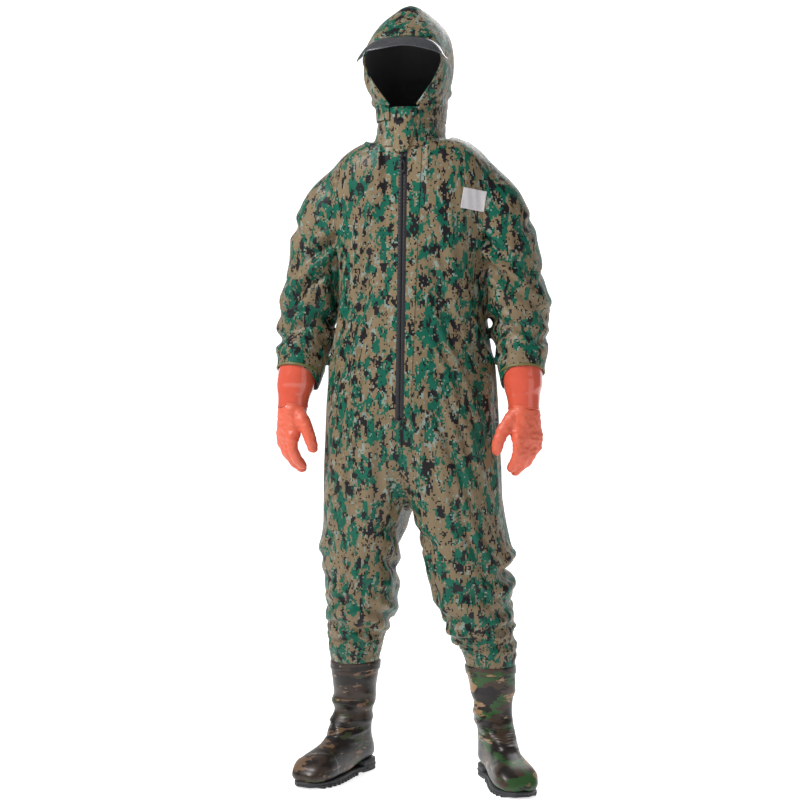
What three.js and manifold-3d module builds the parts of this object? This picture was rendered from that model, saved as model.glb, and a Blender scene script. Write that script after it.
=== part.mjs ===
// Full-body hooded chest waders: a coated-fabric suit with welded-on vinyl gloves and moulded rubber boots,
// a front zip under a snap-down chin flap, and a hood with a clear brim. It stands as if worn, and it is empty.
// Millimetres, +Z up, the suit faces -Y, and left and right are the wearer's.
import * as THREE from "three";
import { mergeVertices } from "three/addons/utils/BufferGeometryUtils.js";
import Module from "manifold-3d";

const wasm = await Module();
wasm.setup();

// ---- walls and clearances ----
const FABRIC = 3; // coated fabric with its lining
const RUBBER = 4; // boot wall
const VINYL = 2.5; // glove wall
const LINER = 1.2; // knitted glove lining
const CLEAR = 0.35; // welded and sewn pieces lie this far apart
const FIT = 1.2; // one round tube inside another
const TAPE = 1.4; // welted strips, bands and labels

// ---- the front line, which the zip follows ----
const ZIP_FOOT = { y: -142, z: 838 }; // lower end of the zip opening
const ZIP_TOP_Z = 1440;
const FRONT_LEAN = 0.07; // the front runs back by this share of its height
const frontLine = (z) => ZIP_FOOT.y + (z - ZIP_FOOT.z) * FRONT_LEAN;

const CHEST = 184; // half width of the trunk under the arms
const WAIST = 166; // half width at its narrowest, beside the elbows
const HIPS = 200; // half width at the zip's foot

// ---- trunk, one half: centre c from the midline, half width a, front and back y, squareness n ----
const SEAT_Z = 628; // the crotch
const NECK_Z = 1463;
const TRUNK = [
  { z: NECK_Z, c: 0, a: 80, front: frontLine(NECK_Z), back: 76, n: 2.1 },
  { z: 1442, c: 0, a: 116, front: frontLine(1442), back: 86, n: 2.2 },
  { z: 1422, c: 0, a: 152, front: frontLine(1422), back: 94, n: 2.3 },
  { z: 1400, c: 0, a: 177, front: frontLine(1400), back: 102, n: 2.6 },
  { z: 1365, c: 0, a: CHEST + 3, front: frontLine(1365), back: 112, n: 2.9 },
  { z: 1300, c: 0, a: CHEST, front: frontLine(1300), back: 121, n: 3 },
  { z: 1215, c: 0, a: WAIST + 6, front: frontLine(1215), back: 124, n: 2.8 },
  { z: 1130, c: 0, a: WAIST, front: frontLine(1130), back: 121, n: 2.5 },
  { z: 1050, c: 0, a: WAIST + 6, front: frontLine(1050), back: 118, n: 2.5 },
  { z: 960, c: 0, a: HIPS - 13, front: frontLine(960), back: 119, n: 2.5 },
  { z: 880, c: 0, a: HIPS - 3, front: frontLine(880), back: 126, n: 2.5 },
  { z: ZIP_FOOT.z, c: 0, a: HIPS, front: ZIP_FOOT.y, back: 131, n: 2.5 },
  { z: 790, c: 6, a: 197, front: -141, back: 136, n: 2.4 },
  { z: 740, c: 34, a: 172, front: -136, back: 137, n: 2.3 },
  { z: 700, c: 64, a: 144, front: -130, back: 133, n: 2.2 },
  { z: 665, c: 90, a: 121, front: -123, back: 126, n: 2.2 },
  { z: 642, c: 104, a: 109, front: -117, back: 120, n: 2.2 },
];

// ---- boots: where the ankle stands, how far the toes turn out, and how the shaft leans ----
const BOOT = {
  left: { x: 199, y: 6, turnOut: 25, lean: -0.1 },
  right: { x: 150, y: 6, turnOut: 19, lean: -0.08 },
};

// ---- legs below the crotch, down to the tube that is welded into the boot ----
const KNEE_Z = 475;
const KNEE_ABOVE = 32; // the cloth that folds starts this far above the knee's axis
const KNEE_BELOW = 98; // and ends this far below it, so that the shin clears the thigh at a right angle
const BOOT_TOP_Z = 266;
const LEG_END_Z = 240;
const LEG = {
  left: [
    { z: SEAT_Z, c: 108, a: 106.5, front: -113, back: 116, n: 2.2 },
    { z: 590, c: 116, a: 108, front: -106, back: 106, n: 2.1 },
    { z: 540, c: 124, a: 100, front: -100, back: 96, n: 2.1 },
    { z: KNEE_Z, c: 134, a: 92, front: -98, back: 88, n: 2.1 },
    { z: 420, c: 145, a: 87, front: -92, back: 86, n: 2.1 },
    { z: 350, c: BOOT.left.x - 34, a: 73, front: -77, back: 82, n: 2 },
    { z: 300, c: BOOT.left.x - 21, a: 64, front: -62, back: 74, n: 2 },
  ],
  right: [
    { z: SEAT_Z, c: 106, a: 104.5, front: -113, back: 116, n: 2.2 },
    { z: 590, c: 114, a: 98, front: -106, back: 106, n: 2.1 },
    { z: 540, c: 119, a: 92, front: -100, back: 96, n: 2.1 },
    { z: KNEE_Z, c: 121, a: 86, front: -98, back: 88, n: 2.1 },
    { z: 420, c: 121, a: 84, front: -92, back: 86, n: 2.1 },
    { z: 350, c: BOOT.right.x - 20, a: 71, front: -77, back: 82, n: 2 },
    { z: 300, c: BOOT.right.x - 14, a: 63, front: -62, back: 74, n: 2 },
  ],
};

// ---- boot sections ----
const LEAN_FROM_Z = 90;
const SHAFT_RADIUS = 58;
const SOLE = 12; // forefoot sole
const HEEL = 26; // heel block, under the heel seat
const HEEL_FRONT = -12; // the heel block's front face, forward of the ankle
// The upper from the shaft's top to the toe: top point, bottom point and half width of each section.
const UPPER = [
  { top: [SHAFT_RADIUS, BOOT_TOP_Z], bottom: [-SHAFT_RADIUS, BOOT_TOP_Z], w: SHAFT_RADIUS, n: 2 },
  { top: [56, 232], bottom: [-59, 230], w: 55, n: 2 },
  { top: [49, 184], bottom: [-56, 178], w: 48, n: 2 },
  { top: [46, 146], bottom: [-54, 130], w: 45, n: 2.1 },
  { top: [56, 120], bottom: [-64, 86], w: 42, n: 2.2 },
  { top: [72, 104], bottom: [-80, 52], w: 40, n: 2.4 },
  { top: [88, 93], bottom: [-74, 30], w: 39, n: 2.6 },
  { top: [104, 84], bottom: [-10, 24], w: 39, n: 2.6 },
  { top: [124, 76], bottom: [58, 15], w: 44, n: 2.6 },
  { top: [146, 69], bottom: [112, 13], w: 48, n: 2.6 },
  { top: [167, 61], bottom: [150, 13], w: 47, n: 2.6 },
  { top: [186, 48], bottom: [180, 14], w: 37, n: 2.4 },
  { top: [196, 33], bottom: [193, 18], w: 19, n: 2.2 },
];
const SHAFT_END = 6; // the section where the boot's shaft and heel end and its foot begins
// Half width of the sole at each place along the foot, from the heel to the toe.
const SOLE_OUTLINE = [
  [-84, 0], [-80, 20], [-66, 33], [-40, 37], [0, 35], [40, 37], [85, 46], [125, 51], [158, 47], [184, 34], [198, 17],
  [202, 0],
];
const INSOLE = 3;
const INSOLE_INSET = 9; // the insole stays this far inside the sole's outline

// ---- sleeves: centre, half width across and half depth, from inside the shoulder to the cuff ----
const ELBOW = { x: WAIST + 82, y: 10, z: 1090 };
const CUFF = { x: ELBOW.x + 14, y: -38, z: 936, a: 50, b: 50 };
const SLEEVE = [
  { x: CHEST - 66, y: 4, z: 1352, a: 60, b: 60 },
  { x: CHEST - 32, y: 4, z: 1338, a: 70, b: 64 },
  { x: CHEST + 2, y: 4, z: 1306, a: 73, b: 68 },
  { x: CHEST + 29, y: 5, z: 1255, a: 67, b: 70 },
  { x: ELBOW.x - 17, y: 7, z: 1192, a: 62, b: 70 },
  { x: ELBOW.x - 6, y: 9, z: 1138, a: 63, b: 70 },
  { ...ELBOW, a: 66, b: 70 },
  { x: ELBOW.x + 4, y: 2, z: 1045, a: 61, b: 66 },
  { x: ELBOW.x + 9, y: -17, z: 988, a: 56, b: 58 },
  CUFF,
];
const HEM = 15; // height of the cuff's hem band

// ---- gauntlet and hand ----
const GLOVE_GRIP = 34; // how far the gauntlet reaches up inside the cuff
const WRIST = { x: CUFF.x + 6, y: -62, z: 856, a: 35, b: 31 };
const PALM = { length: 78, a: 41, b: 21, rise: 9 }; // the hand bends back by rise at the knuckles
const HAND_TURN = 42; // the back of the hand faces this far forward of sideways, in degrees
const FINGERS = [
  // place across the palm, where it starts along the hand, length, radius
  { name: "index", across: 29, start: 66, length: 74, r: 12.5, curl: 0.5 },
  { name: "middle", across: 9, start: 72, length: 82, r: 12.8, curl: 0.62 },
  { name: "ring", across: -11, start: 69, length: 78, r: 12.2, curl: 0.75 },
  { name: "little", across: -29, start: 60, length: 64, r: 11, curl: 0.88 },
];
const THUMB = { root: [22, 18, -2], knee: [52, 48, -12], tip: [54, 92, -20], r: 14.5 };

// ---- collar and hood ----
const CHIN = { y: -106, z: 1531 }; // the hood's side edges meet the collar here
const COLLAR = [
  { z: NECK_Z + CLEAR, a: 80, front: frontLine(NECK_Z), back: 76 },
  { z: 1492, a: 72, front: -101.5, back: 82 },
  { z: CHIN.z - CLEAR, a: 77, front: CHIN.y, back: 92 },
];
const SLIT = 1.2; // half the slit down the collar's front, under the chin flap
// The hood's arches fan out from the chin. Each lies in a plane at this angle above the collar's top, and its
// half widths are given from the chin up.
const HOOD = [
  { angle: 0.6, reach: 198, base: 24, low: 67, mid: 78, high: 70, top: 40 },
  { angle: 12, reach: 213, base: 25, low: 70.5, mid: 82, high: 74, top: 43 },
  { angle: 21, reach: 229, base: 26, low: 74, mid: 86, high: 77.5, top: 46 },
  { angle: 34, reach: 248, base: 27, low: 79, mid: 92, high: 83, top: 50 },
  { angle: 48, reach: 262, base: 27, low: 82.5, mid: 96, high: 86.5, top: 46 },
  { angle: 61, reach: 266, base: 27, low: 83.5, mid: 97, high: 87.5, top: 34 },
  { angle: 72, reach: 246, base: 27, low: 80, mid: 96, high: 87, top: 34 },
  { angle: 82, reach: 198, base: 27, low: 66, mid: 89, high: 90, top: 52 },
  { angle: 93, reach: 145, base: 27, low: 50, mid: 76, high: 90, top: 70 },
];
const HOOD_FOLD_TOP = 27; // the cloth below this angle folds when the hood is pushed back
// The brim starts above the face, at a share of the hood's last row of facets, and flares outwards as it drops.
const BRIM = { reach: 48, drop: 32, flare: 16, wall: 1.2, from: 0.3, to: 0.7, root: 0.32 };
const EDGE_SHARE = 0.5; // the binding round the face covers this share of the last row of facets

// ---- zip ----
const TOOTH_HALF = 3.6; // half width of the closed row of teeth
const SLOT_HALF = 11; // half width of the opening that the zip is set in
const ZIP_TAPE = { width: 18, thick: 1 };
const TOOTH_PITCH = 12;
const SLIDER = { half: 5.6, length: 17, plate: 1.4, fromTop: 26 };
const PIN_RADIUS = 1;
const PULL = { width: 8, length: 34, thick: 2.2 };
const PLACKET = { from: 13, foot: 25, top: 42 }; // welted strips beside the zip, which widen upwards
const FLAP = { foot: 1432, corner: 1468, free: -24, sewn: 26, thick: 2.4, off: 4.2 }; // chin flap
const SNAP = { x: -5, z: 1503, cap: 7.5, stud: 5, post: 2.2, nub: 2.8 };

const LABEL = { z: [1303, 1350], columns: [2.6, 3, 4, 4.4] };

// ---- small tools ----
const vec = (x, y, z) => new THREE.Vector3(x, y, z);
const rad = THREE.MathUtils.degToRad;

// A value of a station list at key, on a smooth curve through the stations.
function between(list, key, at, name) {
  const rising = list[list.length - 1][key] > list[0][key];
  let i = list.findIndex((s) => (rising ? s[key] > at : s[key] < at)) - 1;
  if (i === -2) i = list.length - 2;
  i = Math.min(Math.max(i, 0), list.length - 2);
  const [p, q] = [list[i], list[i + 1]];
  const before = list[Math.max(i - 1, 0)];
  const after = list[Math.min(i + 2, list.length - 1)];
  const span = q[key] - p[key];
  const t = THREE.MathUtils.clamp((at - p[key]) / span, 0, 1);
  const slope = (one, two) => (two[key] === one[key] ? 0 : (two[name] - one[name]) / (two[key] - one[key]));
  const [m0, m1] = [slope(before, q) * span, slope(p, after) * span];
  const [t2, t3] = [t * t, t * t * t];
  return (2 * t3 - 3 * t2 + 1) * p[name] + (t3 - 2 * t2 + t) * m0 + (3 * t2 - 2 * t3) * q[name] + (t3 - t2) * m1;
}

// Superellipse: the share of each half axis at angle t.
function oval(t, n) {
  const lift = (x) => Math.sign(x) * Math.abs(x) ** (2 / n);
  return [lift(Math.cos(t)), lift(Math.sin(t))];
}

// Half of the trunk's outline at height z, or a whole leg's below the crotch, from the front or inseam round the outside.
function bodyRing(side, z) {
  const list = [...TRUNK, ...LEG[side], insideShaft(side, BOOT_TOP_Z, 0), insideShaft(side, LEG_END_Z, 4)];
  const [c, a, front, back, n] = ["c", "a", "front", "back", "n"].map((name) => between(list, "z", z, name));
  const cut = z > SEAT_Z ? Math.acos(-Math.min(1, (Math.max(c, 0) / a) ** (n / 2))) : Math.PI;
  const mirror = side === "left" ? 1 : -1;
  const [middle, half] = [(front + back) / 2, (back - front) / 2];
  return {
    centre: vec(mirror * c, middle, z),
    at: (u) => {
      const [across, along] = oval(cut * (2 * u - 1), n);
      return vec(mirror * Math.max(z > SEAT_Z ? 0 : -1e9, c + a * across), middle + half * along, z);
    },
  };
}

// Where the leg's tube runs inside the boot's shaft.
function insideShaft(side, z, taper) {
  const { x, y, lean } = BOOT[side];
  const r = SHAFT_RADIUS - RUBBER - FIT - taper;
  return { z, c: x + lean * (z - LEAN_FROM_Z), a: r, front: y - r, back: y + r, n: 2 };
}

// A ring square to a path of stations that hold x, y, z, a and b. The path runs by station number.
function pathRing(list, place, mirror) {
  const numbered = list.map((s, i) => ({ ...s, i }));
  const get = (at, name) => between(numbered, "i", at, name);
  const point = (at) => vec(mirror * get(at, "x"), get(at, "y"), get(at, "z"));
  const [low, high] = [Math.max(place - 0.3, 0), Math.min(place + 0.3, list.length - 1)];
  const along = point(high).sub(point(low)).normalize();
  const outward = vec(0, 1, 0).cross(along).normalize().multiplyScalar(-mirror);
  const forward = along.clone().cross(outward).multiplyScalar(-mirror);
  const centre = point(place);
  const [a, b] = [get(place, "a"), get(place, "b")];
  return {
    centre,
    at: (u) => {
      const t = 2 * Math.PI * u;
      return centre.clone().addScaledVector(outward, a * Math.cos(t)).addScaledVector(forward, b * Math.sin(t));
    },
  };
}

const offset = (ring, u, by) => {
  const p = ring.at(u);
  return p.addScaledVector(p.clone().sub(ring.centre).normalize(), by);
};

// A closed solid between two grids of points, rows by columns. Closed grids run all the way round.
// tips closes the last row of each grid onto a point.
function slab(outer, inner, closed, tips) {
  const [rows, cols] = [outer.length, outer[0].length];
  const points = [...outer.flat(), ...inner.flat()];
  const index = [];
  const id = (layer, j, i) => layer * rows * cols + j * cols + (i % cols);
  const quad = (p, q, r, s) => index.push(p, q, r, p, r, s);
  const wide = closed ? cols : cols - 1;
  for (let j = 0; j < rows - 1; j++)
    for (let i = 0; i < wide; i++) {
      quad(id(0, j, i), id(0, j, i + 1), id(0, j + 1, i + 1), id(0, j + 1, i));
      quad(id(1, j, i), id(1, j + 1, i), id(1, j + 1, i + 1), id(1, j, i + 1));
    }
  for (let i = 0; i < wide; i++) {
    quad(id(0, 0, i), id(1, 0, i), id(1, 0, i + 1), id(0, 0, i + 1));
    if (tips) continue;
    quad(id(0, rows - 1, i), id(0, rows - 1, i + 1), id(1, rows - 1, i + 1), id(1, rows - 1, i));
  }
  if (tips) {
    const first = points.push(...tips) - 2;
    for (let i = 0; i < wide; i++) {
      index.push(id(0, rows - 1, i), id(0, rows - 1, i + 1), first);
      index.push(id(1, rows - 1, i + 1), id(1, rows - 1, i), first + 1);
    }
  }
  if (!closed)
    for (let j = 0; j < rows - 1; j++) {
      quad(id(0, j, 0), id(0, j + 1, 0), id(1, j + 1, 0), id(1, j, 0));
      quad(id(0, j, cols - 1), id(1, j, cols - 1), id(1, j + 1, cols - 1), id(0, j + 1, cols - 1));
    }
  return facingOut(points, index);
}

// A solid filled between rings, with flat ends.
function core(rings) {
  const [rows, cols] = [rings.length, rings[0].length];
  const index = [];
  const middle = (ring) => ring.reduce((sum, p) => sum.add(p), vec(0, 0, 0)).divideScalar(cols);
  const points = [...rings.flat(), middle(rings[0]), middle(rings[rows - 1])];
  for (let i = 0; i < cols; i++) {
    const next = (i + 1) % cols;
    for (let j = 0; j < rows - 1; j++) {
      const [p, q] = [j * cols, (j + 1) * cols];
      index.push(p + i, p + next, q + next, p + i, q + next, q + i);
    }
    index.push(rows * cols, next, i, rows * cols + 1, (rows - 1) * cols + i, (rows - 1) * cols + next);
  }
  return facingOut(points, index);
}

function facingOut(points, index) {
  let volume = 0;
  for (let k = 0; k < index.length; k += 3) {
    const [p, q, r] = [points[index[k]], points[index[k + 1]], points[index[k + 2]]];
    volume += p.dot(q.clone().cross(r));
  }
  if (volume < 0) index.reverse();
  return new THREE.BufferGeometry().setFromPoints(points).setIndex(index);
}

// The piece of a surface between two offsets, over a range round it (u) and a list of places along it.
function panel(ringAt, places, u, steps, [low, high], tips) {
  const closed = u === "all";
  const [from, to] = closed ? [0, 1] : u;
  const grid = (by) =>
    places.map((v) => {
      const ring = ringAt(v);
      const count = closed ? steps : steps + 1;
      return Array.from({ length: count }, (_, i) => offset(ring, from + ((to - from) * i) / steps, by));
    });
  return slab(grid(high), grid(low), closed, tips);
}

// ---- booleans ----
function solid(geometry) {
  const bare = geometry.clone();
  bare.deleteAttribute("normal");
  bare.deleteAttribute("uv");
  const merged = mergeVertices(bare, 1e-4);
  const made = new wasm.Manifold(
    new wasm.Mesh({
      numProp: 3,
      vertProperties: new Float32Array(merged.attributes.position.array),
      triVerts: new Uint32Array(merged.index.array),
    }),
  );
  return made;
}

function geometryOf(manifold) {
  const { vertProperties, triVerts, numProp } = manifold.getMesh();
  const positions = new Float32Array((vertProperties.length / numProp) * 3);
  for (let i = 0; i < positions.length / 3; i++)
    positions.set(vertProperties.subarray(i * numProp, i * numProp + 3), i * 3);
  return new THREE.BufferGeometry()
    .setAttribute("position", new THREE.BufferAttribute(positions, 3))
    .setIndex(new THREE.BufferAttribute(new Uint32Array(triVerts), 1));
}

const cut = (geometry, ...tools) => geometryOf(tools.reduce((s, tool) => s.subtract(solid(tool)), solid(geometry)));
const join = (...shapes) => geometryOf(shapes.map(solid).reduce((one, two) => one.add(two)));

function boxBetween([x0, x1], [y0, y1], [z0, z1]) {
  return new THREE.BoxGeometry(x1 - x0, y1 - y0, z1 - z0).translate((x0 + x1) / 2, (y0 + y1) / 2, (z0 + z1) / 2);
}

// ---- the assembly and its finishes ----
const suit = new THREE.Group();
const FINISH = {
  camo: { color: 0x6f7f62, roughness: 0.62, metalness: 0 },
  bootCamo: { color: 0x3d3730, roughness: 0.35, metalness: 0 },
  sole: { color: 0x26272b, roughness: 0.6, metalness: 0 },
  orange: { color: 0xe8623f, roughness: 0.42, metalness: 0 },
  glossOrange: { color: 0xe8583a, roughness: 0.12, metalness: 0 },
  knit: { color: 0xe9e4d8, roughness: 0.95, metalness: 0 },
  black: { color: 0x17171a, roughness: 0.35, metalness: 0 },
  blackMetal: { color: 0x1c1c1f, roughness: 0.3, metalness: 0.6 },
  steel: { color: 0x8d9094, roughness: 0.3, metalness: 0.9 },
  lining: { color: 0x4a4a4d, roughness: 0.7, metalness: 0 },
  brim: { color: 0xb8babb, roughness: 0.12, metalness: 0, transparent: true, opacity: 0.45 },
  hem: { color: 0x8a8038, roughness: 0.6, metalness: 0 },
  label: { color: 0xe6e4e2, roughness: 0.5, metalness: 0 },
  foam: { color: 0x3a3a3c, roughness: 0.9, metalness: 0 },
};
function add(name, geometry, finish, parent = suit) {
  const mesh = new THREE.Mesh(geometry, new THREE.MeshStandardMaterial(FINISH[finish]));
  mesh.name = name;
  parent.add(mesh);
  return mesh;
}

const zipFrame = new THREE.Group(); // its z runs up the zip, and its -y faces out
zipFrame.position.set(0, ZIP_FOOT.y, ZIP_FOOT.z);
zipFrame.rotation.x = -Math.atan(FRONT_LEAN);
suit.add(zipFrame);
zipFrame.updateMatrixWorld(true);
const zipLength = (ZIP_TOP_Z - ZIP_FOOT.z) * Math.hypot(1, FRONT_LEAN);
const onZip = (geometry) => geometry.clone().applyMatrix4(zipFrame.matrixWorld);

// ---- trunk panels ----
const SEAM_U = 0.0008; // half a seam's gap, as a share of half the girth
const trunkRows = [...TRUNK.map((s) => s.z), SEAT_Z + CLEAR];
const COLUMNS = 7; // facets across each trunk panel
const fullRing = (z, by) => {
  const half = (side, order) => order.map((i) => offset(bodyRing(side, z), i / (2 * COLUMNS), by));
  const order = Array.from({ length: 2 * COLUMNS + 1 }, (_, i) => i);
  return [...half("left", order.slice(0, -1)), ...half("right", order.slice(1).reverse())];
};
const trunkCore = core(TRUNK.filter((s) => s.z > 900).map((s) => fullRing(s.z, 2 * CLEAR)));
const SLEEVE_PLACES = { elbowTop: 5.18, elbowFoot: 7.75, cuff: SLEEVE.length - 1 };

const mirrorOf = { left: 1, right: -1 };
const sleeveRing = (side) => (v) => pathRing(SLEEVE, v, mirrorOf[side]);
const span = (from, to, steps) => Array.from({ length: steps + 1 }, (_, i) => from + ((to - from) * i) / steps);
const sleevePassage = (side) =>
  core(span(0, 6, 8).map((v) => span(0, 19 / 20, 19).map((u) => offset(sleeveRing(side)(v), u, -FABRIC - CLEAR))));

const slot = onZip(boxBetween([-SLOT_HALF, SLOT_HALF], [-30, 30], [-7, zipLength + 60]));
for (const side of ["left", "right"]) {
  const ring = (z) => bodyRing(side, z);
  const front = panel(ring, trunkRows, [SEAM_U, 0.5 - SEAM_U], COLUMNS, [-FABRIC, 0]);
  add(`front_panel_${side}`, cut(front, sleevePassage(side), slot), "camo");
  const back = panel(ring, trunkRows, [0.5 + SEAM_U, 1 - SEAM_U], COLUMNS, [-FABRIC, 0]);
  add(`back_panel_${side}`, cut(back, sleevePassage(side)), "camo");
}

// ---- legs: thigh, the cloth that folds at the knee, and the shin down into the boot ----
for (const side of ["left", "right"]) {
  const ring = (z) => bodyRing(side, z);
  const tube = (from, to, steps) => panel(ring, span(from, to, steps), "all", 20, [-FABRIC, 0]);
  add(`thigh_${side}`, tube(SEAT_Z - CLEAR, KNEE_Z + KNEE_ABOVE, 4), "camo");
  add(`knee_fold_${side}`, tube(KNEE_Z + KNEE_ABOVE - CLEAR, KNEE_Z - KNEE_BELOW, 4), "camo");
  add(`shin_${side}`, tube(KNEE_Z - KNEE_BELOW - CLEAR, LEG_END_Z, 5), "camo");
}

// ---- sleeves ----
for (const side of ["left", "right"]) {
  const ring = sleeveRing(side);
  const tube = (from, to, steps) => panel(ring, span(from, to, steps), "all", 20, [-FABRIC, 0]);
  const { elbowTop, elbowFoot, cuff } = SLEEVE_PLACES;
  add(`sleeve_upper_${side}`, cut(tube(0.6, elbowTop, 8), trunkCore), "camo");
  add(`elbow_fold_${side}`, tube(elbowTop + 0.007, elbowFoot - 0.007, 5), "camo");
  add(`sleeve_lower_${side}`, tube(elbowFoot, cuff, 3), "camo");
  const hem = HEM / (SLEEVE[cuff - 1].z - CUFF.z);
  add(`cuff_hem_${side}`, panel(ring, span(cuff - hem, cuff, 1), "all", 20, [CLEAR, CLEAR + TAPE]), "hem");
}

// ---- gauntlets and gloves ----
const gauntletStations = () => {
  const inside = FABRIC + FIT;
  const top = (z) => ({
    ...Object.fromEntries(["x", "y"].map((name) => [name, between(SLEEVE.slice(-3), "z", z, name)])),
    z,
    a: between(SLEEVE.slice(-3), "z", z, "a") - inside,
    b: between(SLEEVE.slice(-3), "z", z, "b") - inside,
  });
  return [
    top(CUFF.z + GLOVE_GRIP),
    top(CUFF.z + 2),
    { x: CUFF.x + 3, y: -49, z: 908, a: 43, b: 41 },
    { x: CUFF.x + 5, y: -57, z: 880, a: 37, b: 34 },
    WRIST,
    { ...WRIST, y: WRIST.y - 3, z: WRIST.z - 12 },
  ];
};

// The hand's own frame: x across towards the thumb, y towards the back of the hand, z down along the fingers.
function handFrame(side) {
  const mirror = mirrorOf[side];
  const turn = rad(HAND_TURN);
  const thumbward = vec(-mirror * Math.sin(turn), -Math.cos(turn), 0);
  const backward = vec(mirror * Math.cos(turn), -Math.sin(turn), 0);
  const origin = vec(mirror * WRIST.x, WRIST.y, WRIST.z);
  return (across, along, up) =>
    origin
      .clone()
      .addScaledVector(thumbward, across)
      .addScaledVector(backward, up)
      .add(vec(0, 0, -along));
}

// A round-ended rod from one point to another.
function rod(from, to, r0, r1) {
  const length = from.distanceTo(to);
  const cap = (centre, r, a0, a1) =>
    span(a0, a1, 2).map((a) => new THREE.Vector2(Math.max(r * Math.cos(a), 0), centre + r * Math.sin(a)));
  const quarter = Math.PI / 2;
  const profile = [...cap(0, r0, -quarter, 0), ...cap(length, r1, 0, quarter)];
  profile[0].x = 0;
  profile[profile.length - 1].x = 0;
  const shape = new THREE.LatheGeometry(profile, 8);
  const turn = new THREE.Quaternion().setFromUnitVectors(vec(0, 1, 0), to.clone().sub(from).normalize());
  return shape.applyQuaternion(turn).translate(from.x, from.y, from.z);
}

for (const side of ["left", "right"]) {
  const stations = gauntletStations();
  const ring = (v) => pathRing(stations, v, mirrorOf[side]);
  const last = stations.length - 1;
  const gauntlet = panel(ring, span(0, last, 7), "all", 20, [-VINYL, 0]);
  const [overHand, underHand] = [[WRIST.z - CLEAR, WRIST.z + 200], [WRIST.z - 200, WRIST.z]].map((zs) =>
    boxBetween([-600, 600], [-300, 300], zs),
  );
  add(`gauntlet_${side}`, cut(gauntlet, underHand), "glossOrange");

  const hand = handFrame(side);
  const palmRows = [
    [CLEAR, WRIST.a, WRIST.b],
    [PALM.length * 0.3, PALM.a * 0.93, PALM.b * 1.25],
    [PALM.length * 0.65, PALM.a, PALM.b * 1.05],
    [PALM.length, PALM.a * 0.96, PALM.b * 0.78],
  ];
  const palmRing = (by) => ([along, a, b]) =>
    span(0, 17 / 18, 17).map((u) => {
      const [across, up] = oval(2 * Math.PI * u, 2.3);
      return hand((a - by) * across, along, (b - by) * up + (PALM.rise * Math.max(along, 0)) / PALM.length);
    });
  const palm = core(palmRows.map(palmRing(0)));
  const digits = FINGERS.flatMap(({ across, start, length, r, curl }) => {
    const bend = (share, turned) => [share * length * Math.cos(turned), -share * length * Math.sin(turned)];
    const [d1, u1] = bend(0.5, curl * 0.45);
    const [d2, u2] = bend(0.5, curl * 1.3);
    const root = hand(across, start - 10, PALM.rise);
    const knuckle = hand(across * 1.04, start + d1, u1 + PALM.rise * 1.7);
    const tip = hand(across * 1.02, start + d1 + d2, u1 + u2 + PALM.rise);
    return [rod(root, knuckle, r * 1.05, r), rod(knuckle, tip, r, r * 0.88)];
  });
  const thumb = [
    rod(hand(...THUMB.root), hand(...THUMB.knee), THUMB.r * 1.15, THUMB.r),
    rod(hand(...THUMB.knee), hand(...THUMB.tip), THUMB.r, THUMB.r * 0.86),
  ];
  const pocket = (by, from, to) =>
    core([[from, WRIST.a, WRIST.b], ...palmRows.slice(1, 3), [to, PALM.a * 0.96, PALM.b * 0.8]].map(palmRing(by)));
  const hollow = pocket(VINYL, -1, PALM.length - VINYL);
  add(`glove_${side}`, cut(join(palm, ...digits, ...thumb), hollow, overHand), "orange");
  const lining = VINYL + 2 * CLEAR;
  const liner = pocket(lining, 1, PALM.length - lining);
  add(`glove_liner_${side}`, cut(liner, pocket(lining + LINER, 0, PALM.length - lining - LINER)), "knit");
}

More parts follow.
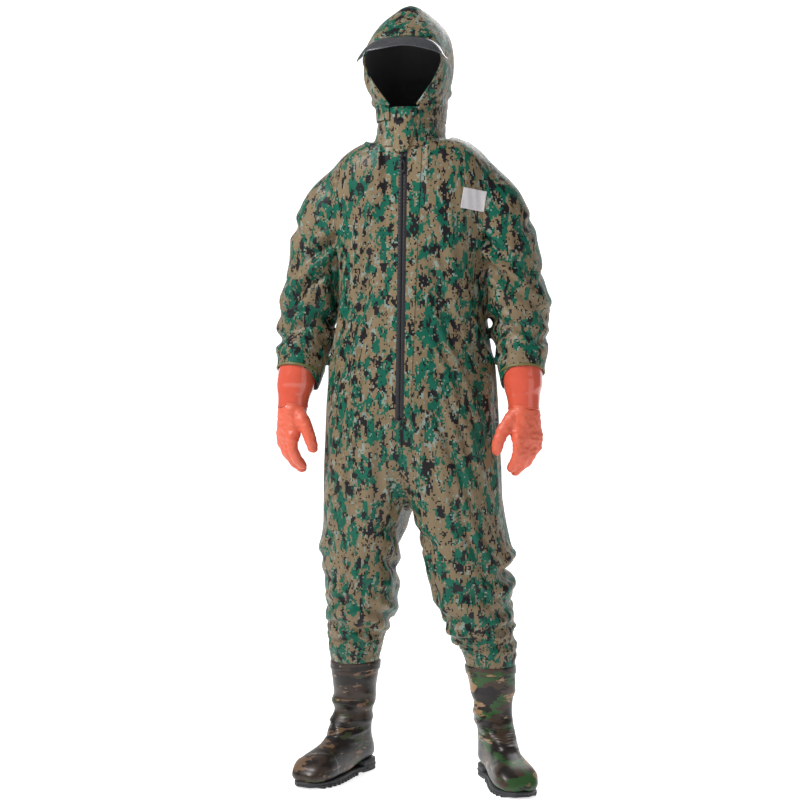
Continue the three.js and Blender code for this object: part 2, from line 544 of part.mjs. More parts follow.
// ---- boots ----
for (const side of ["left", "right"]) {
  const { x, y, turnOut, lean } = BOOT[side];
  const mirror = mirrorOf[side];
  const turn = rad(turnOut);
  const place = (forward, sideways, z) =>
    vec(
      mirror * (x + forward * Math.sin(turn) + sideways * Math.cos(turn) + lean * Math.max(0, z - LEAN_FROM_Z)),
      y - forward * Math.cos(turn) + sideways * Math.sin(turn),
      z,
    );
  const numbered = UPPER.map(({ top, bottom, w, n }, i) => ({ i, tf: top[0], tz: top[1], bf: bottom[0], bz: bottom[1], w, n }));
  const ring = (v) => {
    const [tf, tz, bf, bz, w, n] = ["tf", "tz", "bf", "bz", "w", "n"].map((name) => between(numbered, "i", v, name));
    const [f, z] = [(tf + bf) / 2, (tz + bz) / 2];
    return {
      centre: place(f, 0, z),
      at: (u) => {
        const [up, across] = oval(2 * Math.PI * u, n);
        return place(f + ((tf - bf) / 2) * up, w * across, z + ((tz - bz) / 2) * up);
      },
    };
  };
  const last = UPPER.length - 1;
  const middle = (v) => ring(v).centre;
  const shaft = panel(ring, span(0, SHAFT_END, 7), "all", 18, [-RUBBER, 0]);
  const footPlaces = span(SHAFT_END + 0.015, last, 8);
  const shell = panel(ring, footPlaces, "all", 18, [-RUBBER, 0], [place(198, 0, 25), middle(last)]);
  const outline = (inset, z) => {
    const inner = SOLE_OUTLINE.map(([f, w]) => [f * (1 - inset / 150), Math.max(w - inset, 0)]);
    return [...inner.map(([f, w]) => place(f, w, z)), ...inner.slice(1, -1).reverse().map(([f, w]) => place(f, -w, z))];
  };
  const block = (inset, z0, z1) => core([outline(inset, z0), outline(inset, z1)]);
  const behind = (from, to) => {
    const corners = (z) => [place(from, -90, z), place(from, 90, z), place(to, 90, z), place(to, -90, z)];
    return core([corners(-5), corners(80)]);
  };
  // The foot stands on the sole in front and on the heel block behind, so what would sink into them is trimmed.
  const underFoot = block(-12, -5, SOLE + CLEAR);
  const seat = cut(block(-12, -5, HEEL + CLEAR), behind(HEEL_FRONT + 0.4, 260));
  add(`boot_shaft_${side}`, shaft, "bootCamo");
  add(`boot_foot_${side}`, cut(shell, underFoot, seat), "bootCamo");
  add(`boot_sole_${side}`, cut(block(0, 0, SOLE), behind(-200, HEEL_FRONT)), "sole");
  add(`boot_heel_${side}`, cut(block(0, 0, HEEL), behind(HEEL_FRONT - CLEAR, 260)), "sole");
  const insoleTop = HEEL + RUBBER + INSOLE;
  const insole = cut(block(INSOLE_INSET, HEEL + RUBBER, insoleTop), behind(HEEL_FRONT + 40, 260));
  const inside = (v) => span(0, 17 / 18, 17).map((u) => offset(ring(v), u, -RUBBER - CLEAR));
  const grown = cut(core(footPlaces.slice(0, -1).map(inside)));
  add(`insole_${side}`, geometryOf(solid(insole).intersect(solid(grown))), "foam");
  const bandRing = (v) => ring(v);
  add(`boot_band_${side}`, panel(bandRing, span(0, 0.55, 1), "all", 18, [CLEAR, CLEAR + TAPE]), "bootCamo");
}

// ---- collar, chin flap and its snap ----
const collarRing = (z) => {
  const [a, front, back] = ["a", "front", "back"].map((name) => between(COLLAR, "z", z, name));
  return {
    centre: vec(0, (front + back) / 2, z),
    at: (u) => {
      const [along, across] = oval(2 * Math.PI * u, 2.1);
      return vec(a * across, (front + back) / 2 - ((back - front) / 2) * along, z);
    },
  };
};
const collarRows = [COLLAR[0].z, 1477, 1492, 1512, COLLAR[2].z];
const collarBand = panel(collarRing, collarRows, "all", 24, [-FABRIC, 0]);
// ---- hood: a fan of arches from the chin ----
function hoodRing(angle) {
  const names = ["reach", "base", "low", "mid", "high", "top"];
  const [reach, base, low, mid, high, top] = names.map((name) => between(HOOD, "angle", angle, name));
  const turned = rad(angle);
  const outline = new THREE.CatmullRomCurve3(
    [
      vec(base, 0, 0), vec(low, reach * 0.2, 0), vec(mid, reach * 0.47, 0), vec(high, reach * 0.74, 0),
      vec(top, reach * 0.95, 0), vec(0, reach, 0), vec(-top, reach * 0.95, 0),
      vec(-high, reach * 0.74, 0), vec(-mid, reach * 0.47, 0), vec(-low, reach * 0.2, 0), vec(-base, 0, 0),
    ],
    false,
    "catmullrom",
    0.5,
  );
  const lay = (x, r) => vec(x, CHIN.y + r * Math.cos(turned), CHIN.z + r * Math.sin(turned));
  return {
    centre: lay(0, reach * 0.45),
    at: (u) => {
      const p = outline.getPoint(u);
      return lay(p.x, p.y);
    },
  };
}
const hoodTop = HOOD[HOOD.length - 1].angle;
const foldRows = span(HOOD[0].angle, HOOD_FOLD_TOP - 0.15, 2);
add("hood_neck_fold", panel(hoodRing, foldRows, [0.03, 0.97], 18, [-FABRIC, 0]), "camo");
const shellRows = span(HOOD_FOLD_TOP, hoodTop, 9);
add("hood_panel_left", panel(hoodRing, shellRows, [0.03, 0.4985], 9, [-FABRIC, 0]), "camo");
add("hood_panel_right", panel(hoodRing, shellRows, [0.5015, 0.97], 9, [-FABRIC, 0]), "camo");
// The binding lies inside the front edge, against the last facets of the panels.
const lastRows = shellRows.slice(-2).map((angle) => hoodRing(angle));
const edgeGrid = (by) =>
  [1 - EDGE_SHARE, 1].map((t) =>
    span(0.03, 0.97, 18).map((u) => offset(lastRows[0], u, by).lerp(offset(lastRows[1], u, by), t)),
  );
add("face_edge_binding", slab(edgeGrid(-FABRIC - FIT - CLEAR), edgeGrid(-FABRIC - FIT - CLEAR - TAPE), false), "lining");

// The brim grows out of the hood's front edge over the forehead.
const brimRow = (out, lift) =>
  span(BRIM.from, BRIM.to, 14).map((u) => {
    const share = Math.max(Math.sin((Math.PI * (u - BRIM.from)) / (BRIM.to - BRIM.from)), 0) ** 0.5;
    const by = 2 * CLEAR + lift + out * BRIM.flare;
    const p = offset(lastRows[0], u, by).lerp(offset(lastRows[1], u, by), BRIM.root);
    return p.add(vec(0, -out * BRIM.reach * share - 1, 1 - out * BRIM.drop * (0.4 + 0.6 * share)));
  });
const brimRows = (lift) => span(0, 1, 3).map((out) => brimRow(out, lift));
add("hood_brim", slab(brimRows(BRIM.wall), brimRows(0), false), "brim");

// ---- the front surface, as the panels' facets make it ----
const faceColumn = (side, z, k) => bodyRing(side, z).at(SEAM_U + ((0.5 - 2 * SEAM_U) * k) / COLUMNS);
function trunkFront(z, x) {
  const [p, q] = [faceColumn("left", z, 0), faceColumn("left", z, 1)];
  return p.y + ((q.y - p.y) * (Math.abs(x) - p.x)) / (q.x - p.x);
}
function collarFront(z, x) {
  const [a, front, back] = ["a", "front", "back"].map((name) => between(COLLAR, "z", z, name));
  return (front + back) / 2 - ((back - front) / 2) * (1 - Math.abs(x / a) ** 2.1) ** (1 / 2.1);
}
const frontAt = (z, x) => (z < COLLAR[0].z ? trunkFront(z, x) : collarFront(z, x));

// ---- zip: its own frame runs up the front, and its -y faces out ----
const fabricBack = FABRIC + 1.3;
const tapeFace = fabricBack + CLEAR; // the tapes lie behind the fabric
const chainFace = FABRIC - 1;
const chainBack = tapeFace + ZIP_TAPE.thick;
const teeth = new THREE.Shape();
const toothRows = Math.floor(zipLength / TOOTH_PITCH);
const edge = (mark) => (mark % 2 ? TOOTH_HALF : TOOTH_HALF - 0.9);
for (let i = 0; i <= 2 * toothRows; i++) teeth[i ? "lineTo" : "moveTo"](edge(i), (i * TOOTH_PITCH) / 2);
for (let i = 2 * toothRows; i >= 0; i--) teeth.lineTo(-edge(i), (i * TOOTH_PITCH) / 2);
teeth.closePath();
const chain = new THREE.ExtrudeGeometry(teeth, { depth: chainBack - chainFace, bevelEnabled: false });
add("zip_chain", onZip(chain.rotateX(Math.PI / 2).translate(0, chainBack, 0)), "black");
const chainTop = toothRows * TOOTH_PITCH;
const stop = (z0, z1) => onZip(boxBetween([-TOOTH_HALF, TOOTH_HALF], [chainFace - 1, chainBack], [z0, z1]));
add("zip_bottom_stop", stop(-6, -CLEAR), "blackMetal");
add("zip_top_stop", stop(chainTop + CLEAR, chainTop + 5), "blackMetal");
for (const side of ["left", "right"]) {
  const [near, far] = [TOOTH_HALF + CLEAR, ZIP_TAPE.width].map((x) => x * mirrorOf[side]);
  const tape = boxBetween([Math.min(near, far), Math.max(near, far)], [tapeFace, chainBack], [-8, zipLength + 8]);
  add(`zip_tape_${side}`, onZip(tape), "black");

  const placketRows = trunkRows.filter((z) => z >= ZIP_FOOT.z && z < NECK_Z - 5).reverse();
  const rise = (z) => (z - ZIP_FOOT.z) / (NECK_Z - ZIP_FOOT.z);
  const strip = (out) =>
    placketRows.map((z) =>
      span(PLACKET.from, PLACKET.foot + (PLACKET.top - PLACKET.foot) * rise(z), 2).map((x) =>
        vec(x * mirrorOf[side], trunkFront(z, x) - out, z),
      ),
    );
  add(`placket_${side}`, slab(strip(CLEAR + TAPE), strip(CLEAR), false), "camo");
}

// The slider rides on the front of the teeth, with a flange down each side of them.
const sliderZ = zipLength - SLIDER.fromTop;
const sliderSpan = [sliderZ - SLIDER.length / 2, sliderZ + SLIDER.length / 2];
const sliderFace = chainFace - CLEAR - SLIDER.plate;
const plate = boxBetween([-SLIDER.half, SLIDER.half], [sliderFace, chainFace - CLEAR], sliderSpan);
const flanges = [-1, 1].map((s) => {
  const [inner, outer] = [s * (TOOTH_HALF + CLEAR), s * SLIDER.half];
  return boxBetween([Math.min(inner, outer), Math.max(inner, outer)], [sliderFace, tapeFace - CLEAR], sliderSpan);
});
const pinY = sliderFace - 3;
const pinZ = sliderZ + 4;
const lugs = [-1, 1].map((s) => {
  const [inner, outer] = [s * 2.6, s * 4];
  const lug = [Math.min(inner, outer), Math.max(inner, outer)];
  return boxBetween(lug, [pinY - PIN_RADIUS - 0.6, sliderFace + 0.5], [pinZ - 2.4, pinZ + 2.4]);
});
const pin = new THREE.CylinderGeometry(PIN_RADIUS, PIN_RADIUS, 6.4, 12).rotateZ(Math.PI / 2).translate(0, pinY, pinZ);
add("zip_slider", onZip(join(plate, ...flanges, ...lugs, pin)), "blackMetal");

// The pull's eye turns on the slider's pin, and its long tab lies down the zip.
const eyeOuter = PIN_RADIUS + CLEAR + 1.1;
const eye = new THREE.CylinderGeometry(eyeOuter, eyeOuter, 4.4, 14).rotateZ(Math.PI / 2).translate(0, pinY, pinZ);
const neck = boxBetween([-2.2, 2.2], [pinY - PULL.thick / 2, pinY + PULL.thick / 2], [pinZ - 8, pinZ - 1]);
const tabTop = pinZ - 7;
const half = PULL.width / 2;
const tab = boxBetween([-half, half], [pinY - PULL.thick / 2, pinY + PULL.thick / 2], [pinZ - PULL.length, tabTop]);
const bore = new THREE.CylinderGeometry(PIN_RADIUS + CLEAR, PIN_RADIUS + CLEAR, 12, 14);
const grip = boxBetween([-half + 2, half - 2], [pinY - 5, pinY + 5], [pinZ - PULL.length + 3, tabTop - 6]);
add("zip_pull", onZip(cut(join(eye, neck, tab), bore.rotateZ(Math.PI / 2).translate(0, pinY, pinZ), grip)), "black");

// ---- chin flap, sewn to the collar along its left edge, and its snap ----
const disc = (r, from, to) =>
  new THREE.CylinderGeometry(r, r, Math.abs(from - to), 16).translate(0, (from + to) / 2, 0);
const snapSlope = (COLLAR[0].front - CHIN.y) / (CHIN.z - COLLAR[0].z);
const onSnap = (geometry) =>
  geometry
    .rotateX(Math.PI + Math.atan(snapSlope))
    .translate(SNAP.x, collarFront(SNAP.z, SNAP.x), SNAP.z);
const ease = THREE.MathUtils.smoothstep;
const flapOff = (x) => CLEAR + (FLAP.off - CLEAR) * (1 - ease(x, 15, FLAP.sewn - 1));
const flapFoot = (x) => FLAP.foot + (FLAP.corner - FLAP.foot) * ease(x, 4, FLAP.sewn);
const flapGrid = (out) =>
  span(0, 1, 8).map((s) =>
    span(FLAP.free, FLAP.sewn, 8).map((x) => {
      const z = flapFoot(x) + (CHIN.z - 3 - flapFoot(x)) * s;
      return vec(x, frontAt(z, x) - flapOff(x) - out, z);
    }),
  );
const postHole = () => onSnap(disc(SNAP.post + CLEAR, -20, 20));
add("chin_flap", cut(slab(flapGrid(FLAP.thick), flapGrid(0), false), postHole()), "camo");
const flapFace = FLAP.off + FLAP.thick;
add("snap_cap", onSnap(join(disc(SNAP.cap, flapFace + 2.2, flapFace + 0.6), disc(SNAP.post, flapFace + 1, FLAP.off))), "blackMetal");
const socket = cut(disc(5.6, FLAP.off - FIT, 1.7), disc(SNAP.nub + CLEAR, -9, 9));
add("snap_socket", onSnap(socket), "blackMetal");
add("snap_stud", onSnap(join(disc(SNAP.stud, 1.3, 0.5), disc(SNAP.nub, FLAP.off - 2 * CLEAR, 1))), "steel");
add("snap_base", onSnap(join(disc(SNAP.post, 0.1, -FABRIC - 2), disc(5, -FABRIC - 1.5, -FABRIC - 2.7))), "steel");
add("collar", cut(collarBand, boxBetween([-SLIT, SLIT], [-200, 0], [1400, 1600]), postHole()), "camo");

// ---- blank label welded on the left of the chest ----
const labelGrid = (out) =>
  LABEL.z.map((z) => {
    const ring = bodyRing("left", z);
    return LABEL.columns.map((k) => offset(ring, SEAM_U + ((0.5 - 2 * SEAM_U) * k) / COLUMNS, out));
  });
add("chest_label", slab(labelGrid(CLEAR + TAPE), labelGrid(CLEAR + 0.2), false), "label");

// The suit stands over the origin.
const box = new THREE.Box3().setFromObject(suit);
const middleOf = box.getCenter(vec(0, 0, 0));
suit.position.set(-middleOf.x, -middleOf.y, -box.min.z);

export default suit;
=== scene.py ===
# %% [markdown]
# A full-body hooded wading suit: coated cloth with a digital camouflage print, a front zip, welded-on
# orange gloves and rubber boots. It stands as if worn, and it is empty. The CAD frame gives every piece its
# place, so this lesson starts by loading it and measuring its box.

# %% Load the frame
import math

import bmesh
import bpy
import numpy as np
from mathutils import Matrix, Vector, noise


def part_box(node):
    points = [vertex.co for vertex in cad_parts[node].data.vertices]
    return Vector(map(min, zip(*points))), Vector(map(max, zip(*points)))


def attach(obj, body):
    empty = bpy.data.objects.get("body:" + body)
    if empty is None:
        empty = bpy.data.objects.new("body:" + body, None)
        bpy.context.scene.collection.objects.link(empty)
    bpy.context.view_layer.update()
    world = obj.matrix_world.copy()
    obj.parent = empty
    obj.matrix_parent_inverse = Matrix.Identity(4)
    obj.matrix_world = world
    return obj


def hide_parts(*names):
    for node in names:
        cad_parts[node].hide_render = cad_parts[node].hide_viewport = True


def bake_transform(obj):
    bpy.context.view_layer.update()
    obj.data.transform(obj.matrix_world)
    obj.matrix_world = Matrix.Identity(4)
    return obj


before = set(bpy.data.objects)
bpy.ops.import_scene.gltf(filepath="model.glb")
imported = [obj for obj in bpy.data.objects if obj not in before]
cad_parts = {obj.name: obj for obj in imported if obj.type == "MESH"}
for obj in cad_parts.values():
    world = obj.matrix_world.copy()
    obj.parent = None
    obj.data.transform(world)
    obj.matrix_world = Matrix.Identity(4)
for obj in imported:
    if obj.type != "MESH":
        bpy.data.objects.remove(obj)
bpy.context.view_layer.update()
# The row frame lies this far behind the pattern's own origin.
SHIFT_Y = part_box("front_panel_left")[0].y + 0.142

# %% [markdown]
# The camera looks from the height of the chest, a little to the wearer's left. A long lens from four and a
# half metres keeps the proportions of a standing figure.

# %% Camera
CAMERA_TURN = math.radians(12)
CAMERA_AWAY = 4.5
aim = Vector((-0.028, 0.02, 0.872))
camera = bpy.data.objects.new("camera", bpy.data.cameras.new("camera"))
bpy.context.scene.collection.objects.link(camera)
camera.location = (
    aim.x + CAMERA_AWAY * math.sin(CAMERA_TURN),
    aim.y - CAMERA_AWAY * math.cos(CAMERA_TURN),
    1.04,
)
camera.rotation_euler = (aim - camera.location).to_track_quat("-Z", "Y").to_euler()
camera.data.lens = 88
bpy.context.scene.camera = camera
print("camera stands at", [round(v, 2) for v in camera.location])

# %% [markdown]
# A plain studio: a pale floor that curves up into a pale wall, one large soft light from the upper left,
# a weaker one from the right, and a bright world so that no shadow is black.

# %% Studio
def area_light(name, place, size, watts):
    light = bpy.data.objects.new(name, bpy.data.lights.new(name, "AREA"))
    light.data.size = size
    light.data.energy = watts
    light.location = place
    light.rotation_euler = (Vector((0, 0, 0.9)) - light.location).to_track_quat("-Z", "Y").to_euler()
    bpy.context.scene.collection.objects.link(light)


area_light("key_light", Vector((-2.4, -2.2, 3.9)), 1.1, 205)
area_light("fill_light", Vector((3.0, -2.2, 1.6)), 2.0, 8)
area_light("back_light", Vector((0.6, 2.6, 3.2)), 1.5, 36)
world = bpy.data.worlds.new("studio")
world.use_nodes = True
world.node_tree.nodes["Background"].inputs["Color"].default_value = (0.97, 0.98, 1.0, 1)
world.node_tree.nodes["Background"].inputs["Strength"].default_value = 0.27
bpy.context.scene.world = world
bpy.context.scene.view_settings.view_transform = "Standard"

sweep = [(-9.0, 0.0), (7.0, 0.0), (7.6, 0.1), (8.0, 0.4), (8.25, 1.0), (8.3, 1.6), (8.3, 7.0)]
floor_mesh = bpy.data.meshes.new("floor")
floor_mesh.from_pydata(
    [(x, y, z) for y, z in sweep for x in (-10, 10)],
    [],
    [(2 * i, 2 * i + 1, 2 * i + 3, 2 * i + 2) for i in range(len(sweep) - 1)],
)
floor = bpy.data.objects.new("floor", floor_mesh)
bpy.context.scene.collection.objects.link(floor)
floor_paint = bpy.data.materials.new("floor_paint")
floor_paint.use_nodes = True
floor_paint.node_tree.nodes["Principled BSDF"].inputs["Base Color"].default_value = (0.86, 0.86, 0.86, 1)
floor_paint.node_tree.nodes["Principled BSDF"].inputs["Roughness"].default_value = 0.6
floor_paint.node_tree.nodes["Principled BSDF"].inputs["Emission Color"].default_value = (1, 1, 1, 1)
floor_paint.node_tree.nodes["Principled BSDF"].inputs["Emission Strength"].default_value = 0.7
floor_mesh.materials.append(floor_paint)
print("studio ready")

# %% [markdown]
# Materials are small node graphs. `Recipe` keeps them short: it makes a Principled material and has one
# method for each kind of node used here. Every print and grain is read from a stored position,
# `cloth_place`, or from the object's own coordinates, so that nothing slides when a limb moves.

# %% Node helper
class Recipe:
    def __init__(self, name, roughness, **sockets):
        self.material = bpy.data.materials.new(name)
        self.material.use_nodes = True
        self.nodes = self.material.node_tree.nodes
        self.links = self.material.node_tree.links
        self.shader = self.nodes["Principled BSDF"]
        self.shader.inputs["Roughness"].default_value = roughness
        for socket, value in sockets.items():
            self.shader.inputs[socket.replace("_", " ")].default_value = value

    def node(self, kind, settings=(), **inputs):
        made = self.nodes.new("ShaderNode" + kind)
        for key, value in dict(settings).items():
            setattr(made, key, value)
        for key, value in inputs.items():
            socket = made.inputs[int(key[1:])] if key[0] == "i" and key[1:].isdigit() else made.inputs[key]
            if isinstance(value, bpy.types.NodeSocket):
                self.links.new(value, socket)
            else:
                socket.default_value = value
        return made

    def math(self, operation, a, b=0.0, c=0.0, clamp=False):
        return self.node("Math", dict(operation=operation, use_clamp=clamp), i0=a, i1=b, i2=c).outputs[0]

    def vector(self, operation, a, b=(0, 0, 0)):
        return self.node("VectorMath", dict(operation=operation), i0=a, i1=b).outputs[0]

    def noise(self, place, scale, detail=2.0, roughness=0.5):
        made = self.node("TexNoise", {}, Vector=place, Scale=scale, Detail=detail, Roughness=roughness)
        return made.outputs[0]

    def mix(self, share, a, b):
        made = self.node("Mix", dict(data_type="RGBA"), i0=share)
        for socket, value in ((made.inputs[6], a), (made.inputs[7], b)):
            if isinstance(value, bpy.types.NodeSocket):
                self.links.new(value, socket)
            else:
                socket.default_value = value
        return made.outputs[2]

    def stored(self, name):
        return self.node("Attribute", dict(attribute_name=name)).outputs["Vector"]

    def own(self):
        return self.node("TexCoord").outputs["Object"]

    def bump(self, height, strength, distance):
        made = self.node("Bump", {}, Height=height, Strength=strength, Distance=distance)
        self.links.new(made.outputs[0], self.shader.inputs["Normal"])

    def colour(self, value):
        self.links.new(value, self.shader.inputs["Base Color"])

    def rough(self, value, low, high):
        spread = self.node("MapRange", {}, Value=value, i3=low, i4=high).outputs[0]
        self.links.new(spread, self.shader.inputs["Roughness"])


def paint(red, green, blue):
    """An sRGB colour, 0 to 255, as the linear one that a shader takes."""
    return (*(((c / 255 + 0.055) / 1.055) ** 2.4 if c > 10 else c / 3294 for c in (red, green, blue)), 1)


# %% [markdown]
# The suit's print is digital camouflage: little upright cells in tan, pale grey, green and near black. The
# real one is printed in layers, and so is this one. The place is snapped to cells first, and then each
# layer's noise is cut off at its own level, so that every edge is a staircase. The cells' corners come from
# where the cloth lay before it was draped, which makes the print follow the folds.

# %% Camouflage cloth
def camo_layer(recipe, place, stretch, scale, level, seed):
    moved = recipe.vector("MULTIPLY", recipe.vector("ADD", place, (seed, seed * 1.7, -seed)), stretch)
    coarse = recipe.noise(moved, scale, 3.0, 0.62)
    return recipe.math("GREATER_THAN", coarse, level)


def camo_cloth(name, tan, pale, green, dark, shade=1.0):
    recipe = Recipe(name, 0.5, Specular_IOR_Level=0.2, Coat_Weight=0.03, Coat_Roughness=0.4)
    place = recipe.stored("cloth_place")
    cell = recipe.vector("SNAP", place, (0.0030, 0.0030, 0.0034))
    layers = (
        (pale, (1.5, 1.5, 0.85), 40.0, 0.600, 3.1),
        (green, (1.4, 1.4, 0.8), 30.0, 0.515, 7.7),
        (tan, (1.6, 1.6, 0.9), 60.0, 0.615, 15.2),
        (dark, (1.5, 1.5, 0.8), 44.0, 0.565, 23.9),
        (pale, (1.5, 1.5, 1.1), 105.0, 0.650, 31.4),
        (dark, (1.5, 1.5, 1.1), 120.0, 0.625, 44.6),
    )
    colour = tan
    for tone, stretch, scale, level, seed in layers:
        colour = recipe.mix(camo_layer(recipe, cell, stretch, scale, level, seed), colour, tone)
    # Painted light and shade: noise mixes a darker and a lighter copy of the print in random patches, and
    # shade scales both.
    light_and_shade_mix = recipe.noise(place, 38.0, 4.0, 0.6)
    painted_shade_copy = recipe.node("HueSaturation", {}, Color=colour, Value=0.84 * shade)
    painted_light_copy = recipe.node("HueSaturation", {}, Color=colour, Value=1.08 * shade)
    recipe.colour(recipe.mix(light_and_shade_mix, painted_shade_copy.outputs[0], painted_light_copy.outputs[0]))
    recipe.rough(recipe.noise(place, 90.0, 3.0), 0.32, 0.54)
    weave = recipe.noise(place, 1400.0, 1.0)
    crush = recipe.noise(place, 120.0, 5.0, 0.65)
    recipe.bump(recipe.math("ADD", recipe.math("MULTIPLY", weave, 0.25), crush), 0.4, 0.0014)
    return recipe.material


TAN, PALE, GREEN, DARK = paint(118, 102, 78), paint(120, 133, 124), paint(6, 84, 66), paint(20, 17, 21)
suit_cloth = camo_cloth("suit_cloth", TAN, PALE, GREEN, DARK)
# The plackets and chin flap get painted light: a copy of the suit cloth, same print, made 12 per cent
# lighter.
strip_cloth_painted_light = camo_cloth("strip_cloth_painted_light", TAN, PALE, GREEN, DARK, 1.12)
print("suit cloth ready")

# %% [markdown]
# Plainer finishes still need grain: rubber has a faint orange-peel skin, knitted lining has ribs, moulded
# teeth have edges that shine. `grained` makes such a finish from two colours, a grain size and a bump.

# %% Plain finishes
def grained(name, one, two, size, roughness, bump, distance=0.0006, **sockets):
    recipe = Recipe(name, roughness, **sockets)
    place = recipe.own()
    speckle = recipe.noise(place, 1 / size, 4.0, 0.6)
    recipe.colour(recipe.mix(speckle, one, two))
    recipe.rough(recipe.noise(place, 0.35 / size, 3.0), max(roughness - 0.08, 0.02), roughness + 0.1)
    recipe.bump(speckle, bump, distance)
    return recipe.material


lining = grained("grey_lining", paint(64, 64, 67), paint(84, 83, 86), 0.0011, 0.75, 0.3)
zip_black = grained("zip_black", paint(17, 17, 20), paint(32, 32, 36), 0.0015, 0.42, 0.25)
zip_metal = grained("zip_metal", paint(20, 20, 22), paint(44, 44, 47), 0.003, 0.25, 0.1, Metallic=0.7)
snap_steel = grained(
    "snap_steel", paint(140, 142, 145), paint(170, 172, 174), 0.002, 0.25, 0.1, Metallic=1.0
)
sole_rubber = grained("sole_rubber", paint(30, 31, 33), paint(46, 47, 50), 0.0025, 0.6, 0.35)
glove_knit = grained("glove_knit", paint(222, 216, 204), paint(240, 236, 226), 0.0016, 0.95, 0.5)
foam = grained("insole_foam", paint(52, 52, 55), paint(72, 72, 76), 0.002, 0.9, 0.4)
label_white = grained("label_white", paint(178, 174, 176), paint(200, 197, 199), 0.004, 0.5, 0.12)
hem_olive = grained("hem_olive", paint(84, 80, 40), paint(112, 106, 56), 0.002, 0.5, 0.2)
glove_matt = grained("glove_matt", paint(190, 78, 52), paint(214, 98, 70), 0.0045, 0.46, 0.5, 0.0012)
glove_gloss = grained(
    "glove_gloss", paint(190, 70, 48), paint(208, 88, 64), 0.03, 0.16, 0.05, Coat_Weight=1.0
)

brim_recipe = Recipe("clear_brim", 0.1, Transmission_Weight=0.3, Alpha=0.84, IOR=1.3)
scuffs = brim_recipe.noise(brim_recipe.own(), 60.0, 5.0, 0.7)
brim_recipe.colour(brim_recipe.mix(scuffs, paint(54, 55, 58), paint(96, 97, 100)))
brim_recipe.rough(scuffs, 0.06, 0.3)
brim_recipe.bump(brim_recipe.noise(brim_recipe.own(), 14.0, 2.0), 0.15, 0.004)
clear_brim = brim_recipe.material
print("plain finishes ready")


# %% [markdown]
# The boots carry a woodland print instead: soft-edged patches of brown, black, olive and tan under a satin
# skin. Five noises, each cut off over a narrow band, lie over one another.

# %% Boot rubber
def boot_rubber_finish(name, base, patches):
    recipe = Recipe(name, 0.4, Specular_IOR_Level=0.3, Coat_Weight=0.05, Coat_Roughness=0.3)
    place = recipe.own()
    streaky = recipe.vector("MULTIPLY", place, (1.0, 1.0, 3.0))
    colour = base
    for tone, scale, level, seed in patches:
        field = recipe.noise(recipe.vector("ADD", streaky, (seed, -seed, seed)), scale, 4.0, 0.55)
        share = recipe.math("MULTIPLY", recipe.math("SUBTRACT", field, level), 60.0, clamp=True)
        colour = recipe.mix(share, colour, tone)
    recipe.colour(colour)
    recipe.rough(recipe.noise(place, 40.0, 3.0), 0.26, 0.5)
    recipe.bump(recipe.noise(place, 420.0, 3.0), 0.12, 0.0006)
    return recipe.material


boot_camo = {
    "right": boot_rubber_finish(
        "boot_camo_brown",
        paint(50, 38, 31),
        (
            (paint(104, 80, 60), 11.0, 0.55, 1.3),
            (paint(27, 22, 20), 10.0, 0.49, 5.1),
            (paint(50, 56, 36), 14.0, 0.60, 9.4),
            (paint(18, 15, 15), 24.0, 0.60, 14.8),
            (paint(124, 98, 74), 26.0, 0.66, 21.5),
        ),
    ),
    "left": boot_rubber_finish(
        "boot_camo_green",
        paint(58, 44, 34),
        (
            (paint(40, 72, 34), 10.0, 0.50, 3.7),
            (paint(136, 106, 78), 12.0, 0.58, 8.9),
            (paint(26, 21, 19), 11.0, 0.52, 12.1),
            (paint(18, 15, 15), 24.0, 0.60, 17.4),
            (paint(138, 110, 82), 28.0, 0.66, 25.2),
        ),
    ),
}
print("boot rubber ready")

# %% [markdown]
# Two helpers make every piece. `shape` turns points and faces into an object, and `finish_piece` gives it a
# finish and a body to ride on, or with a blend bakes its place into its points instead, and hides the CAD
# nodes it stands for. `settle` applies an object's modifiers for good.

# %% Piece helpers
def settle(obj):
    bpy.context.view_layer.update()
    done = bpy.data.meshes.new_from_object(obj.evaluated_get(bpy.context.evaluated_depsgraph_get()))
    obj.modifiers.clear()
    obj.data = done
    for polygon in done.polygons:
        polygon.use_smooth = True
    return obj


def shape(name, points, faces):
    mesh = bpy.data.meshes.new(name)
    mesh.from_pydata([tuple(map(float, p)) for p in points], [], faces)
    mesh.update()
    obj = bpy.data.objects.new(name, mesh)
    bpy.context.scene.collection.objects.link(obj)
    return obj


def modify(obj, kind, **settings):
    modifier = obj.modifiers.new(kind.lower(), kind)
    for key, value in settings.items():
        setattr(modifier, key, value)
    return modifier


def finish_piece(obj, body, materials, nodes=(), blend=None):
    if obj.modifiers:
        settle(obj)
    if not obj.data.materials:
        for material in materials if isinstance(materials, (list, tuple)) else [materials]:
            obj.data.materials.append(material)
    for polygon in obj.data.polygons:
        polygon.use_smooth = True
    if blend:
        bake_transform(obj)
    else:
        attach(obj, body)
    if nodes:
        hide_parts(*nodes)
    return obj


def grid_faces(rows, columns, closed):
    wide = columns if closed else columns - 1
    return [
        (
            j * columns + i,
            j * columns + (i + 1) % columns,
            (j + 1) * columns + (i + 1) % columns,
            (j + 1) * columns + i,
        )
        for j in range(rows - 1)
        for i in range(wide)
    ]


def loft(name, rings, closed=True, capped=False):
    rings = [np.asarray(ring, float) for ring in rings]
    rows, columns = len(rings), len(rings[0])
    faces = grid_faces(rows, columns, closed)
    if capped:
        faces.append(tuple(range(columns - 1, -1, -1)))
        faces.append(tuple((rows - 1) * columns + i for i in range(columns)))
    obj = shape(name, np.concatenate(rings), faces)
    outward(obj)
    return obj


